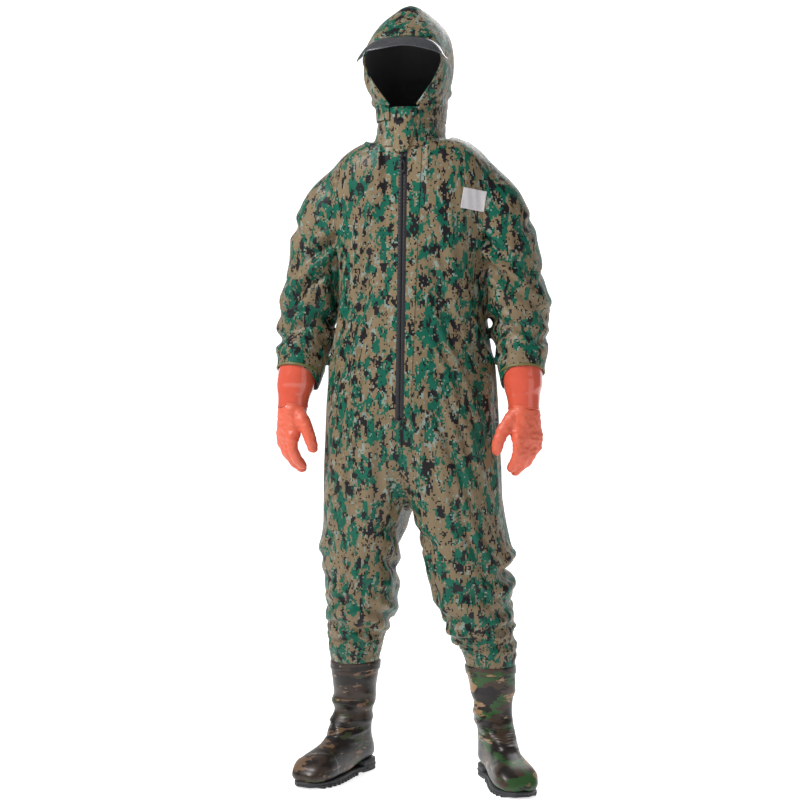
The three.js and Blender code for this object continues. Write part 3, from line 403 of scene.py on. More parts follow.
def outward(obj):
    """Face every polygon away from the middle of the shape."""
    mesh = bmesh.new()
    mesh.from_mesh(obj.data)
    bmesh.ops.recalc_face_normals(mesh, faces=mesh.faces)
    middle = sum((v.co for v in mesh.verts), Vector()) / len(mesh.verts)
    if sum(f.normal.dot(f.calc_center_median() - middle) * f.calc_area() for f in mesh.faces) < 0:
        bmesh.ops.reverse_faces(mesh, faces=mesh.faces)
    mesh.to_mesh(obj.data)
    mesh.free()


print("helpers ready")

# %% [markdown]
# A suit like this is cut from flat panels, but worn it is a set of tubes. The pattern below holds a few
# cross sections of each tube, in millimetres: height, distance from the midline, half width, front and
# back, and how square it is. Smooth curves join them.

# %% The suit's sections
MM = 0.001
FOOT_Y, FOOT_Z, FRONT_LEAN = -142.0, 838.0, 0.07


def front_line(z):
    return FOOT_Y + (z - FOOT_Z) * FRONT_LEAN


SEAT_Z = 628.0
TRUNK = [
    (1463, 0, 80, front_line(1463), 76, 2.1), (1442, 0, 116, front_line(1442), 86, 2.2),
    (1422, 0, 152, front_line(1422), 94, 2.3), (1400, 0, 177, front_line(1400), 102, 2.6),
    (1365, 0, 187, front_line(1365), 112, 2.9), (1300, 0, 184, front_line(1300), 121, 3.0),
    (1215, 0, 172, front_line(1215), 124, 2.8), (1130, 0, 166, front_line(1130), 121, 2.5),
    (1050, 0, 172, front_line(1050), 118, 2.5), (960, 0, 187, front_line(960), 119, 2.5),
    (880, 0, 197, front_line(880), 126, 2.5), (838, 0, 200, -142, 131, 2.5),
    (790, 6, 197, -141, 136, 2.4), (740, 34, 172, -136, 137, 2.3), (700, 64, 144, -130, 133, 2.2),
    (665, 90, 121, -123, 126, 2.2), (642, 104, 109, -117, 120, 2.2),
]
LEG = {
    "left": [
        (628, 108, 106.5, -113, 116, 2.2), (590, 116, 108, -106, 106, 2.1), (540, 124, 100, -100, 96, 2.1),
        (475, 134, 92, -98, 88, 2.1), (420, 145, 87, -92, 86, 2.1), (350, 165, 73, -77, 82, 2.0),
        (300, 178, 64, -62, 74, 2.0), (262, 183, 55, -50, 60, 2.0), (238, 184, 50, -45, 56, 2.0),
    ],
    "right": [
        (628, 106, 104.5, -113, 116, 2.2), (590, 114, 98, -106, 106, 2.1), (540, 119, 92, -100, 96, 2.1),
        (475, 121, 86, -98, 88, 2.1), (420, 121, 84, -92, 86, 2.1), (350, 130, 71, -77, 82, 2.0),
        (300, 136, 63, -62, 74, 2.0), (262, 137, 55, -50, 60, 2.0), (238, 138, 50, -45, 56, 2.0),
    ],
}
SLEEVE = [
    (118, 4, 1352, 60, 60), (152, 4, 1338, 70, 64), (186, 4, 1306, 73, 68), (213, 5, 1255, 67, 70),
    (231, 7, 1192, 62, 70), (242, 9, 1138, 63, 70), (248, 10, 1090, 66, 70), (252, 2, 1045, 61, 66),
    (257, -17, 988, 56, 58), (262, -38, 936, 50, 50),
]
SIDE = {"left": 1, "right": -1}


def through(table, at, key=0):
    """One row of a table of stations, on a smooth curve through them, at that value of column key."""
    rows = np.asarray(table, float)
    places = rows[:, key]
    if places[0] > places[-1]:
        rows, places = rows[::-1], places[::-1]
    i = int(np.clip(np.searchsorted(places, at, "right") - 1, 0, len(rows) - 2))
    before, after = max(i - 1, 0), min(i + 2, len(rows) - 1)
    gap = places[i + 1] - places[i]
    t = float(np.clip((at - places[i]) / gap, 0, 1))
    m0 = (rows[i + 1] - rows[before]) / (places[i + 1] - places[before]) * gap
    m1 = (rows[after] - rows[i]) / (places[after] - places[i]) * gap
    return (
        (2 * t**3 - 3 * t**2 + 1) * rows[i] + (t**3 - 2 * t**2 + t) * m0
        + (3 * t**2 - 2 * t**3) * rows[i + 1] + (t**3 - t**2) * m1
    )


def oval(t, n):
    return (
        np.sign(np.cos(t)) * np.abs(np.cos(t)) ** (2 / n),
        np.sign(np.sin(t)) * np.abs(np.sin(t)) ** (2 / n),
    )


def body_ring(side, z, count, scale=1.0, overlap=6.0):
    """Half of the trunk's outline, or a whole leg's, as points in metres."""
    _, c, a, front, back, n = through(TRUNK + LEG[side], z)
    cut = math.acos(-min(1.0, (max(c, 0.0) / a) ** (n / 2))) if z > SEAT_Z else math.pi
    across, along = oval(cut * np.linspace(-1, 1, count, endpoint=z > SEAT_Z), n)
    x = (
        c + a * scale * across
        + 10 * math.exp(-(((z - 600) / 38) ** 2)) * np.maximum(-across, 0) * (z <= SEAT_Z)
    )
    if z > SEAT_Z:
        x = np.maximum(x, -overlap)
    y = (front + back) / 2 + (back - front) / 2 * scale * along
    return np.stack([SIDE[side] * x * MM, y * MM + SHIFT_Y, np.full(count, z * MM)], 1)


def path_ring(table, place, mirror, count, scale=1.0, grow=0.0):
    """A ring square to a path of stations of x, y, z and two half widths."""
    rows = [(i, *row) for i, row in enumerate(table)]
    at = lambda v: through(rows, v)[1:]
    here = at(place)
    low, high = at(max(place - 0.3, 0)), at(min(place + 0.3, len(rows) - 1))
    along = np.array([mirror * (high[0] - low[0]), high[1] - low[1], high[2] - low[2]])
    along /= np.linalg.norm(along)
    outward_way = np.cross([0, 1, 0], along)
    outward_way *= -mirror / np.linalg.norm(outward_way)
    forward = -mirror * np.cross(along, outward_way)
    t = np.linspace(0, 2 * math.pi, count, endpoint=False)[:, None]
    centre = np.array([mirror * here[0], here[1] + SHIFT_Y / MM, here[2]])
    a, b = here[3] * scale + grow, here[4] * scale + grow
    return (centre + a * np.cos(t) * outward_way + b * np.sin(t) * forward) * MM


print("sections ready:", len(TRUNK), "for the trunk,", len(SLEEVE), "for a sleeve")

# %% [markdown]
# Worn cloth hangs on a body, so the drape needs one. The dummy is the same set of tubes, drawn in: close
# under the cloth at the shoulders and hips, and well inside it at the waist, elbows, knees and calves. It
# is only there while the cloth moves, and is deleted afterwards.

# %% Dummy
def tube_rings(side, top, foot, step, scale_at, count=40):
    return [body_ring(side, z, count, scale_at(z)) for z in np.arange(top, foot, -step)]


def trunk_scale(z):
    return float(
        np.interp(
            z, [230, 300, 420, 560, 640, 800, 900, 1100, 1300, 1400],
            [0.93, 0.84, 0.84, 0.86, 0.88, 0.9, 0.9, 0.86, 0.94, 0.97]
        )
    )


def sleeve_scale(v):
    return float(np.interp(v, [0, 2, 4, 6, 8, 9], [0.93, 0.93, 0.84, 0.8, 0.82, 0.88]))


def suit_tubes(name, scaled):
    made = []
    for side in SIDE:
        body_scale = trunk_scale if scaled else lambda z: 1.0
        arm_scale = sleeve_scale if scaled else lambda v: 1.0
        foot = 232
        made.append(
            loft(f"{name}_half_{side}", tube_rings(side, 1468, foot, 10, body_scale, 56), capped=True)
        )
        rings = [path_ring(SLEEVE, v, SIDE[side], 40, arm_scale(v)) for v in np.linspace(0, 9, 46)]
        over = 2 * rings[-1] - rings[-2]
        made.append(loft(f"{name}_arm_{side}", [*rings, over], capped=True))
    return made


def join(objects):
    with bpy.context.temp_override(active_object=objects[0], selected_editable_objects=objects):
        bpy.ops.object.join()
    return objects[0]


def soften(obj, factor, times):
    modify(obj, "SMOOTH", factor=factor, iterations=times)
    return settle(obj)


suit = join(suit_tubes("skin", False))
modify(suit, "REMESH", mode="VOXEL", voxel_size=0.0085)
settle(suit)
soften(suit, 0.5, 5)
print("suit skin", len(suit.data.vertices), "points")

# %% [markdown]
# The closed skin is opened where the neck, the wrists and the boots go. Each cut is a plane: `bisect_plane`
# clears what lies beyond it, and a test keeps it off the other limbs.

# %% Open the ends
def slice_off(obj, point, normal, near):
    mesh = bmesh.new()
    mesh.from_mesh(obj.data)
    chosen = [v for v in mesh.verts if near(v.co)]
    inside = set(chosen)
    edges = [e for e in mesh.edges if e.verts[0] in inside and e.verts[1] in inside]
    faces = [f for f in mesh.faces if all(v in inside for v in f.verts)]
    bmesh.ops.bisect_plane(
        mesh, geom=chosen + edges + faces, plane_co=point, plane_no=normal, clear_outer=True
    )
    mesh.to_mesh(obj.data)
    mesh.free()


CUFF = {side: Vector((SIDE[side] * 0.262, -0.038 + SHIFT_Y, 0.936)) for side in SIDE}
CUFF_WAY = {side: Vector((SIDE[side] * 5, -21, -52)).normalized() for side in SIDE}
slice_off(suit, (0, 0, 1.456), (0, 0, 1), lambda p: abs(p.x) < 0.15 and p.z > 1.4)
slice_off(suit, (0, 0, 0.244), (0, 0, -1), lambda p: p.z < 0.3)
for side in SIDE:
    slice_off(
        suit, CUFF[side], CUFF_WAY[side],
        lambda p, m=SIDE[side]: p.x * m > 0.206 and (p - CUFF["left" if m > 0 else "right"]).length < 0.09,
    )
print("ends open,", len(suit.data.vertices), "points left")

# %% [markdown]
# Where the cloth is slack it wrinkles: across the calves and knees, round the elbows, from the armpits. The
# slack is laid in first, as ridged noise drawn out along the way that each fold runs, and the drape then
# lets it settle. The undisturbed place of each point is stored beforehand, for the print.

# %% Lay in the slack
def as_array(obj, kind="co"):
    out = np.empty(len(obj.data.vertices) * 3)
    obj.data.vertices.foreach_get(kind, out)
    return out.reshape(-1, 3)


def smooth_step(value, low, high):
    t = np.clip((value - low) / (high - low), 0, 1)
    return t * t * (3 - 2 * t)


def bell(value, middle, half):
    return np.exp(-(((value - middle) / half) ** 2))


def ridges(points, stretch, seed):
    """Ridged noise from 0 to 1 at each point, longest along the smallest number of stretch."""
    out = np.empty(len(points))
    for i, p in enumerate(points):
        q = Vector((p[0] * stretch[0] + seed, p[1] * stretch[1] - seed, p[2] * stretch[2] + seed))
        out[i] = 1 - min(1.0, 2.2 * abs(noise.noise(q)))
    return out


suit_start = as_array(suit)
normals = as_array(suit, "normal")
x, y, z = suit_start.T
trunk_rows = np.array([through(TRUNK + LEG["left"], v / MM) for v in np.clip(z, 0.7, 1.46)])
trunk_fill = (np.abs(x) / (trunk_rows[:, 2] * MM)) ** trunk_rows[:, 5] + (
    np.abs(y - SHIFT_Y - (trunk_rows[:, 3] + trunk_rows[:, 4]) / 2 * MM)
    / ((trunk_rows[:, 4] - trunk_rows[:, 3]) / 2 * MM)
) ** trunk_rows[:, 5]
on_sleeve = (z > 0.9) & (trunk_fill > 1.06) & (np.abs(x) > 0.165) & (z < 1.395)
on_leg = z < 0.66

tilted = suit_start.copy()
tilted[:, 2] += 0.35 * np.abs(x) + 0.25 * y
leg_folds = 0.006 * (ridges(suit_start, (5, 5, 21), 3.0) - 0.4) * bell(z, 0.40, 0.12)
leg_folds += 0.008 * (ridges(tilted, (5, 5, 13), 12.0) - 0.4) * bell(z, 0.56, 0.08)
arm_folds = 0.010 * (ridges(tilted, (6, 6, 20), 21.0) - 0.4) * bell(z, 1.10, 0.11)
arm_folds += 0.008 * (ridges(tilted, (6, 5, 13), 27.0) - 0.4) * bell(z, 1.27, 0.10)
leaning = suit_start.copy()
leaning[:, 0] = np.abs(x) + 0.3 * z
trunk_folds = 0.006 * (ridges(leaning, (7, 5, 2.2), 41.0) - 0.4)
slack = np.where(on_sleeve, arm_folds, np.where(on_leg, leg_folds, trunk_folds))
slack *= smooth_step(z, 0.285, 0.33) * (1 - smooth_step(z, 1.36, 1.44))
cuff_gap = np.min([np.linalg.norm(suit_start - np.array(CUFF[s]), axis=1) for s in SIDE], axis=0)
slack *= smooth_step(cuff_gap, 0.06, 0.10)
zip_hold = (1 - smooth_step(np.abs(x), 0.046, 0.075)) * (y < 0) * smooth_step(z, 0.80, 0.83)
slack *= 1 - zip_hold
suit_slack = suit_start + normals * slack[:, None]
suit.data.vertices.foreach_set("co", suit_slack.ravel())
place = suit.data.attributes.new("cloth_place", "FLOAT_VECTOR", "POINT")
place.data.foreach_set("vector", suit_start.astype(np.float32).ravel())
print(
    "slack laid in, deepest", round(float(slack.max() * 1000), 1), "mm;", int(on_sleeve.sum()),
    "points on sleeves"
)

# %% [markdown]
# Now the drape. The neck, cuffs, boot tops and the stiff zip front are pinned, because they are sewn or
# welded to pieces that hold their shape. Everything else falls for half a second on to the dummy under its
# own weight. The cloth is also made a little larger than its pattern, which is what makes the slack buckle
# into sharp folds.

# %% Drape
def pin_weights():
    hold = 1 - smooth_step(z, 0.262, 0.30)
    hold = np.maximum(hold, smooth_step(z, 1.435, 1.452))
    hold = np.maximum(hold, 1 - smooth_step(cuff_gap, 0.060, 0.085))
    return np.maximum(hold, zip_hold)


def pinned_group(obj, name, weights):
    group = obj.vertex_groups.new(name=name)
    for level in np.unique(np.round(weights, 2)):
        if level > 0:
            group.add(np.flatnonzero(np.round(weights, 2) == level).tolist(), float(level), "REPLACE")
    return group


dummy = join(suit_tubes("dummy", True))
modify(dummy, "REMESH", mode="VOXEL", voxel_size=0.014)
settle(dummy)
modify(dummy, "COLLISION")
dummy.collision.thickness_outer = 0.004
dummy.collision.cloth_friction = 12
pinned_group(suit, "pinned", pin_weights())
cloth = modify(suit, "CLOTH").settings
cloth.quality = 5
cloth.mass = 0.25
cloth.air_damping = 2.0
cloth.tension_stiffness = cloth.compression_stiffness = 28
cloth.shear_stiffness = 14
cloth.bending_stiffness = 0.6
cloth.vertex_group_mass = "pinned"
cloth.pin_stiffness = 1.0
cloth.shrink_min = -0.035
drape = suit.modifiers["cloth"]
drape.collision_settings.distance_min = 0.004
drape.collision_settings.use_self_collision = False
drape.point_cache.frame_start = 1
drape.point_cache.frame_end = 40
for step in range(1, 25):
    bpy.context.scene.frame_set(step)
settle(suit)
bpy.data.objects.remove(dummy)
bpy.context.scene.frame_set(1)
moved = as_array(suit) - suit_slack
far = np.linalg.norm(moved, axis=1)
moved *= np.minimum(1, 0.045 / np.maximum(far, 1e-6))[:, None]
suit.data.vertices.foreach_set("co", (suit_slack + moved).ravel())
print("draped; points moved by up to", round(float(far.max() * 1000)), "mm")

# %% [markdown]
# The few deep folds that make a wading suit look like one are placed one by one on the draped cloth: the
# swell over the knee with a pinch under it, the stack of folds above the boot, and the long folds that run
# from the armpit down round the sleeve. Each is a crease with a swell on both sides, at a height, a lean
# and a facing.

# %% Deep folds
def facing_of(points, centre_x, centre_y, mirror):
    """The way each point faces from its limb's centre line: 0 is the front, pi / 2 the outer side."""
    return np.arctan2((points[:, 0] - centre_x) * mirror, -(points[:, 1] - centre_y))


def crease(height, facing, at, lean, width, depth, toward, spread):
    """A fold at a height, rising by lean for each radian round the limb and running round by spread."""
    around = (facing - toward + math.pi) % (2 * math.pi) - math.pi
    t = (height - at - lean * around) / width
    profile = -np.exp(-(t**2)) + 0.5 * np.exp(-((t - 1.8) ** 2)) + 0.5 * np.exp(-((t + 1.8) ** 2))
    return depth * profile * np.exp(-((around / spread) ** 2))


def swell(height, facing, at, half, depth, toward, spread):
    around = (facing - toward + math.pi) % (2 * math.pi) - math.pi
    return depth * bell(height, at, half) * np.exp(-((around / spread) ** 2))


LEG_CREASES = {
    "left": [
        (0.515, 0.030, 0.016, 0.020, 1.75, 0.8), (0.452, -0.012, 0.013, 0.010, 0.3, 0.9),
        (0.424, 0.018, 0.011, 0.009, 1.3, 0.8),
        (0.398, -0.016, 0.013, 0.011, -0.5, 0.9), (0.372, 0.008, 0.010, 0.008, 0.9, 0.8),
        (0.350, -0.010, 0.011, 0.009, -0.3, 1.0),
        (0.322, 0.006, 0.010, 0.007, 0.4, 1.1), (0.470, 0.020, 0.014, 0.009, 2.9, 0.9),
        (0.405, 0.0, 0.013, 0.010, 2.9, 1.1),
        (0.345, 0.0, 0.012, 0.009, 2.7, 1.2), (0.585, -0.035, 0.016, 0.009, -1.0, 0.7),
        (0.545, 0.03, 0.014, 0.008, -1.6, 0.7),
    ],
    "right": [
        (0.512, 0.024, 0.014, 0.013, -1.5, 0.7), (0.530, -0.020, 0.014, 0.011, 1.6, 0.7),
        (0.462, 0.022, 0.013, 0.009, -0.4, 0.9),
        (0.436, -0.012, 0.011, 0.010, 0.5, 0.9), (0.408, 0.030, 0.012, 0.013, -0.9, 0.9),
        (0.382, -0.006, 0.010, 0.008, 0.6, 0.9),
        (0.356, 0.014, 0.011, 0.010, -0.4, 1.0), (0.325, -0.004, 0.010, 0.007, 0.3, 1.1),
        (0.468, -0.02, 0.014, 0.009, 2.9, 0.9),
        (0.400, 0.0, 0.013, 0.010, 3.0, 1.1), (0.340, 0.0, 0.012, 0.009, 2.9, 1.2),
        (0.590, 0.03, 0.016, 0.008, -1.1, 0.7),
    ],
}
SLEEVE_CREASES = [
    (1.262, -0.050, 0.015, 0.012, -0.9, 0.8), (1.225, -0.055, 0.014, 0.011, -0.3, 0.8),
    (1.180, -0.060, 0.014, 0.012, -0.5, 0.9),
    (1.140, -0.045, 0.013, 0.011, 0.1, 0.8), (1.100, -0.035, 0.012, 0.010, 0.6, 0.8),
    (1.075, 0.030, 0.012, 0.011, -0.9, 0.8),
    (1.040, -0.025, 0.013, 0.012, 0.2, 1.0), (1.008, 0.020, 0.011, 0.009, 1.0, 0.9),
    (0.985, -0.018, 0.010, 0.008, -0.4, 0.9),
    (1.120, 0.030, 0.013, 0.010, 2.6, 1.0), (1.060, -0.02, 0.013, 0.010, 2.8, 1.1),
    (1.200, 0.040, 0.014, 0.010, 2.4, 0.9),
    (1.275, 0.030, 0.014, 0.009, 1.3, 0.7),
]


def deep_folds(points):
    depth = np.zeros(len(points))
    for side, mirror in SIDE.items():
        rows = np.asarray(LEG[side])
        mine = on_leg & (points[:, 0] * mirror > 0)
        here = points[mine]
        centre = np.interp(here[:, 2], rows[::-1, 0] * MM, rows[::-1, 1] * MM) * mirror
        facing = facing_of(here, centre, SHIFT_Y, mirror)
        amount = swell(here[:, 2], facing, 0.548, 0.035, 0.012, 1.6, 0.9)
        amount += swell(here[:, 2], facing, 0.475, 0.028, 0.008, -1.6 if side == "right" else 1.4, 0.9)
        amount += swell(here[:, 2], facing, 0.42, 0.05, 0.005, 3.1, 1.4)
        for fold in LEG_CREASES[side]:
            amount += crease(here[:, 2], facing, *fold)
        depth[mine] = (
            amount * smooth_step(here[:, 2], 0.272, 0.31) * (1 - smooth_step(here[:, 2], 0.60, 0.66))
        )
        stations = np.asarray(SLEEVE)[::-1]
        mine = on_sleeve & (points[:, 0] * mirror > 0)
        here = points[mine]
        middle = [np.interp(here[:, 2], stations[:, 2] * MM, stations[:, k] * MM) for k in (0, 1)]
        facing = facing_of(here, middle[0] * mirror, middle[1] + SHIFT_Y, mirror)
        amount = (
            swell(here[:, 2], facing, 1.105, 0.04, 0.006, 1.9, 1.2)
            + swell(here[:, 2], facing, 0.975, 0.022, 0.006, 0.5, 2.5)
        )
        for fold in SLEEVE_CREASES:
            amount += crease(here[:, 2], facing, *fold)
        depth[mine] = (
            amount * smooth_step(here[:, 2], 0.94, 0.965) * (1 - smooth_step(here[:, 2], 1.29, 1.33))
        )
    return depth


draped = as_array(suit)
folded = (
    draped
    + as_array(suit, "normal") * (deep_folds(suit_start) * smooth_step(cuff_gap, 0.052, 0.075))[:, None]
)
sag = np.zeros(len(folded))
for side, mirror in SIDE.items():
    near_cuff = on_sleeve & (suit_start[:, 0] * mirror > 0)
    behind = smooth_step(
        -(suit_start[:, 0] * mirror - 0.262) + 0.6 * (suit_start[:, 1] + 0.038 - SHIFT_Y), -0.01, 0.07
    )
    sag += near_cuff * behind * (1 - smooth_step(suit_start[:, 2], 0.93, 1.06))
folded[:, 2] -= 0.030 * sag
for side, mirror in SIDE.items():
    rows = np.asarray(LEG[side])[::-1]
    inner = np.interp(folded[:, 2], rows[:, 0] * MM, (rows[:, 1] - rows[:, 2]) * MM) - 0.001
    inner += 0.008 * bell(folded[:, 2], 0.600, 0.035)
    within = on_leg & (suit_start[:, 0] * mirror > 0) & (folded[:, 2] > 0.44)
    short = np.maximum(inner - folded[:, 0] * mirror, 0) * within
    folded[:, 0] += mirror * short * 0.9
under_seat = bell(suit_start[:, 0] - 0.002, 0.0, 0.020) * bell(suit_start[:, 2], 0.612, 0.032)
folded[:, 2] += 0.030 * under_seat
lift = {"left": 0.020, "right": 0.010}
for side, mirror in SIDE.items():
    at_shoulder = bell(suit_start[:, 0] * mirror, 0.135, 0.05) * smooth_step(suit_start[:, 2], 1.33, 1.40)
    folded[:, 2] += lift[side] * at_shoulder
suit.data.vertices.foreach_set("co", folded.ravel())
suit.data.update()
soften(suit, 0.35, 1)
print("folds laid, deepest", round(float(np.abs(deep_folds(suit_start)).max() * 1000), 1), "mm")

# %% [markdown]
# The skin is now parted along its real seams: down the middle, and round each armhole. Each part gets one
# subdivision, a thickness, and a grey lined inside.

# %% Part the panels
def part(obj, name, keep):
    made = shape(name, [], [])
    mesh = bmesh.new()
    mesh.from_mesh(obj.data)
    mesh.faces.ensure_lookup_table()
    bmesh.ops.delete(mesh, geom=[f for f in mesh.faces if not keep[f.index]], context="FACES")
    mesh.to_mesh(made.data)
    mesh.free()
    return made


corners = np.array([[v for v in polygon.vertices[:3]] for polygon in suit.data.polygons])
face_sleeve = on_sleeve[corners].mean(1) > 0.5
face_left = suit_start[:, 0][corners].mean(1) > 0


def clothe(obj, depth=0.0016):
    modify(obj, "SUBSURF", levels=1, render_levels=1)
    modify(
        obj, "SOLIDIFY", thickness=depth, offset=-1, use_rim=True, material_offset=1, material_offset_rim=0
    )
    obj.data.materials.append(suit_cloth)
    obj.data.materials.append(lining)
    return settle(obj)


for side, mirror in SIDE.items():
    here = face_left if side == "left" else ~face_left
    half = clothe(part(suit, f"suit_half_{side}", here & ~face_sleeve))
    knee_x = mirror * (0.134 if side == "left" else 0.121)
    finish_piece(
        half, "suit", [],
        (f"front_panel_{side}", f"back_panel_{side}", f"thigh_{side}", f"knee_fold_{side}", f"shin_{side}"),
        blend=("suit", f"shin_{side}", (knee_x, SHIFT_Y, 0.575), (knee_x, SHIFT_Y, 0.365)),
    )
    sleeve = clothe(part(suit, f"sleeve_{side}", here & face_sleeve))
    finish_piece(
        sleeve, "suit", [],
        (f"sleeve_upper_{side}", f"elbow_fold_{side}", f"sleeve_lower_{side}"),
        blend=(
            "suit", f"forearm_{side}", (mirror * 0.248, SHIFT_Y, 1.175), (mirror * 0.248, SHIFT_Y, 1.01)
        ),
    )
    print(
        "sewn", half.name, len(half.data.polygons), "and", sleeve.name, len(sleeve.data.polygons), "faces"
    )
bpy.data.objects.remove(suit)

# %% [markdown]
# A watertight zip is a black coated tape with the teeth under its two lips. It is wide enough to close the
# slot between the panels, and its lips meet in a fine line. The teeth show as a faint rhythm under the
# coating, so they are real ridges here, one pair for each 4 mm.

# %% Zip
ZIP_FOOT = Vector((0, FOOT_Y * MM + SHIFT_Y, FOOT_Z * MM))
ZIP_UP = Vector((0, FRONT_LEAN, 1)).normalized()
ZIP_OUT = Vector((0, -1, FRONT_LEAN)).normalized()
ZIP_LENGTH = 0.602 * math.hypot(1, FRONT_LEAN)


def on_zip(x, out, up):
    return ZIP_FOOT + Vector((1, 0, 0)) * x + ZIP_OUT * out + ZIP_UP * up


def strip(name, profile, ups, material, body, nodes=(), closed=True):
    """A profile of (across, out) points drawn along the zip; ups are the heights it stops at."""
    rings = [[on_zip(x, out, up) for x, out in profile(up)] for up in ups]
    obj = loft(name, rings, closed=closed, capped=True)
    return finish_piece(obj, body, material, nodes)


for side, mirror in SIDE.items():
    lip = [
        (0.0004, 0.0012), (0.003, 0.0021), (0.0075, 0.0017), (0.0105, 0.0006), (0.0165, 0.0002),
        (0.0165, -0.0006), (0.0004, -0.0006)
    ]

    def ribbed(up, lip=lip, mirror=mirror):
        rib = 0.00035 * math.sin(up / 0.004 * math.pi)
        return [(mirror * a, o + (rib if 0.002 < a < 0.009 and o > 0 else 0)) for a, o in lip]

    strip(
        f"zip_tape_{side}", ribbed, np.arange(-0.008, ZIP_LENGTH + 0.006, 0.002), zip_black, "suit",
        [f"zip_tape_{side}"]
    )

tooth_points, tooth_faces = [], []
for k in range(int(ZIP_LENGTH / 0.004)):
    mirror, up = (1 if k % 2 else -1), k * 0.004
    ring = [(-0.0006, 0.001), (0.0028, 0.001), (0.0034, 0.002), (0.0028, 0.0028), (-0.0006, 0.0028)]
    for lift, size in ((0.0, 0.86), (0.0006, 1.0), (0.0026, 1.0), (0.0032, 0.86)):
        tooth_points += [on_zip(mirror * a * size, -0.0026 + o * size, up + lift) for a, o in ring]
    base = len(tooth_points) - 20
    tooth_faces += [tuple(base + i for i in face) for face in grid_faces(4, 5, True)]
    tooth_faces += [tuple(range(base, base + 5)), tuple(range(base + 15, base + 20))]
teeth = shape("zip_teeth", tooth_points, tooth_faces)
outward(teeth)
finish_piece(teeth, "suit", zip_metal, ["zip_chain"])
print("zip with", len(tooth_points) // 20, "teeth")


# %% [markdown]
# Hard small parts, such as the slider, the stops and the snap, are drawn as an outline with rounded corners
# and given a bevel, so that their edges catch the light.

# %% Small hard parts
def bevelled(obj, width, segments=3):
    modify(obj, "BEVEL", width=width, segments=segments, limit_method="ANGLE", angle_limit=math.radians(35))
    return settle(obj)


def outline_plate(name, outline, low, high, at):
    """An outline of (across, up) points made solid between two distances out."""
    rings = [[at(x, out, up) for x, up in outline] for out in (low, high)]
    return loft(name, rings, capped=True)


SLIDER_UP = ZIP_LENGTH - 0.026
slider_outline = [
    (-0.0046, -0.0085), (0.0046, -0.0085), (0.0058, 0.002), (0.0052, 0.0085), (0.0012, 0.0072),
    (-0.0012, 0.0072), (-0.0052, 0.0085), (-0.0058, 0.002)
]
slider = outline_plate(
    "zip_slider", [(a, SLIDER_UP + u) for a, u in slider_outline], 0.0006, 0.0034, on_zip
)
bridge = outline_plate(
    "slider_bridge",
    [(a, SLIDER_UP + u) for a, u in [(-0.002, -0.006), (0.002, -0.006), (0.002, 0.0075), (-0.002, 0.0075)]],
    0.0028, 0.0062, on_zip,
)
slider = finish_piece(
    bevelled(join([slider, bridge]), 0.0007), "zip_slider", zip_metal, ["zip_slider"]
)

PULL_UP = SLIDER_UP + 0.004
pull_outline = [
    (-0.0021, 0.003), (0.0021, 0.003), (0.0026, -0.004), (0.0046, -0.009), (0.0048, -0.029),
    (0.0028, -0.0325), (-0.0028, -0.0325), (-0.0048, -0.029), (-0.0046, -0.009), (-0.0026, -0.004)
]
inner = [(a * 0.52, -0.019 + (u + 0.019) * 0.62) for a, u in pull_outline]
rings = []
for outline, out, top in (
    (pull_outline, 0.0040, -0.0009), (pull_outline, 0.0062, -0.0047), (inner, 0.0062, 1), (inner, 0.0040, 1)
):
    rings.append([on_zip(a, out, PULL_UP + min(u, top)) for a, u in outline])
pull_faces = grid_faces(4, len(pull_outline), True)
count = len(pull_outline)
pull_faces += [(3 * count + i, 3 * count + (i + 1) % count, (i + 1) % count, i) for i in range(count)]
pull = shape("zip_pull", [p for ring in rings for p in ring], pull_faces)
outward(pull)
finish_piece(bevelled(pull, 0.0006), "zip_pull", zip_black, ["zip_pull"])
for name, up in (("zip_bottom_stop", -0.0035), ("zip_top_stop", ZIP_LENGTH - 0.004)):
    stop = outline_plate(
        name, [(-0.005, up - 0.003), (0.005, up - 0.003), (0.005, up + 0.003), (-0.005, up + 0.003)],
        0.0006, 0.0030, on_zip
    )
    finish_piece(bevelled(stop, 0.0008), "suit", zip_metal, [name])
print("slider, pull and stops made")

# %% [markdown]
# The panels' edges beside the zip are covered by welted strips of the same cloth. They lie on the front, so
# each strip's points are dropped on to the panels by casting a ray at them. The rays come from in front and
# hit the draped cloth.

# %% Lay strips on the cloth
def onto(targets, origin, way, lift):
    """Where a ray meets the nearest target, stood off by lift, or None."""
    best = None
    for target in targets:
        hit, spot, normal, _ = target.ray_cast(origin, way)
        if hit and (best is None or (spot - origin).length < (best - origin).length):
            best = spot
    return None if best is None else best - way * lift


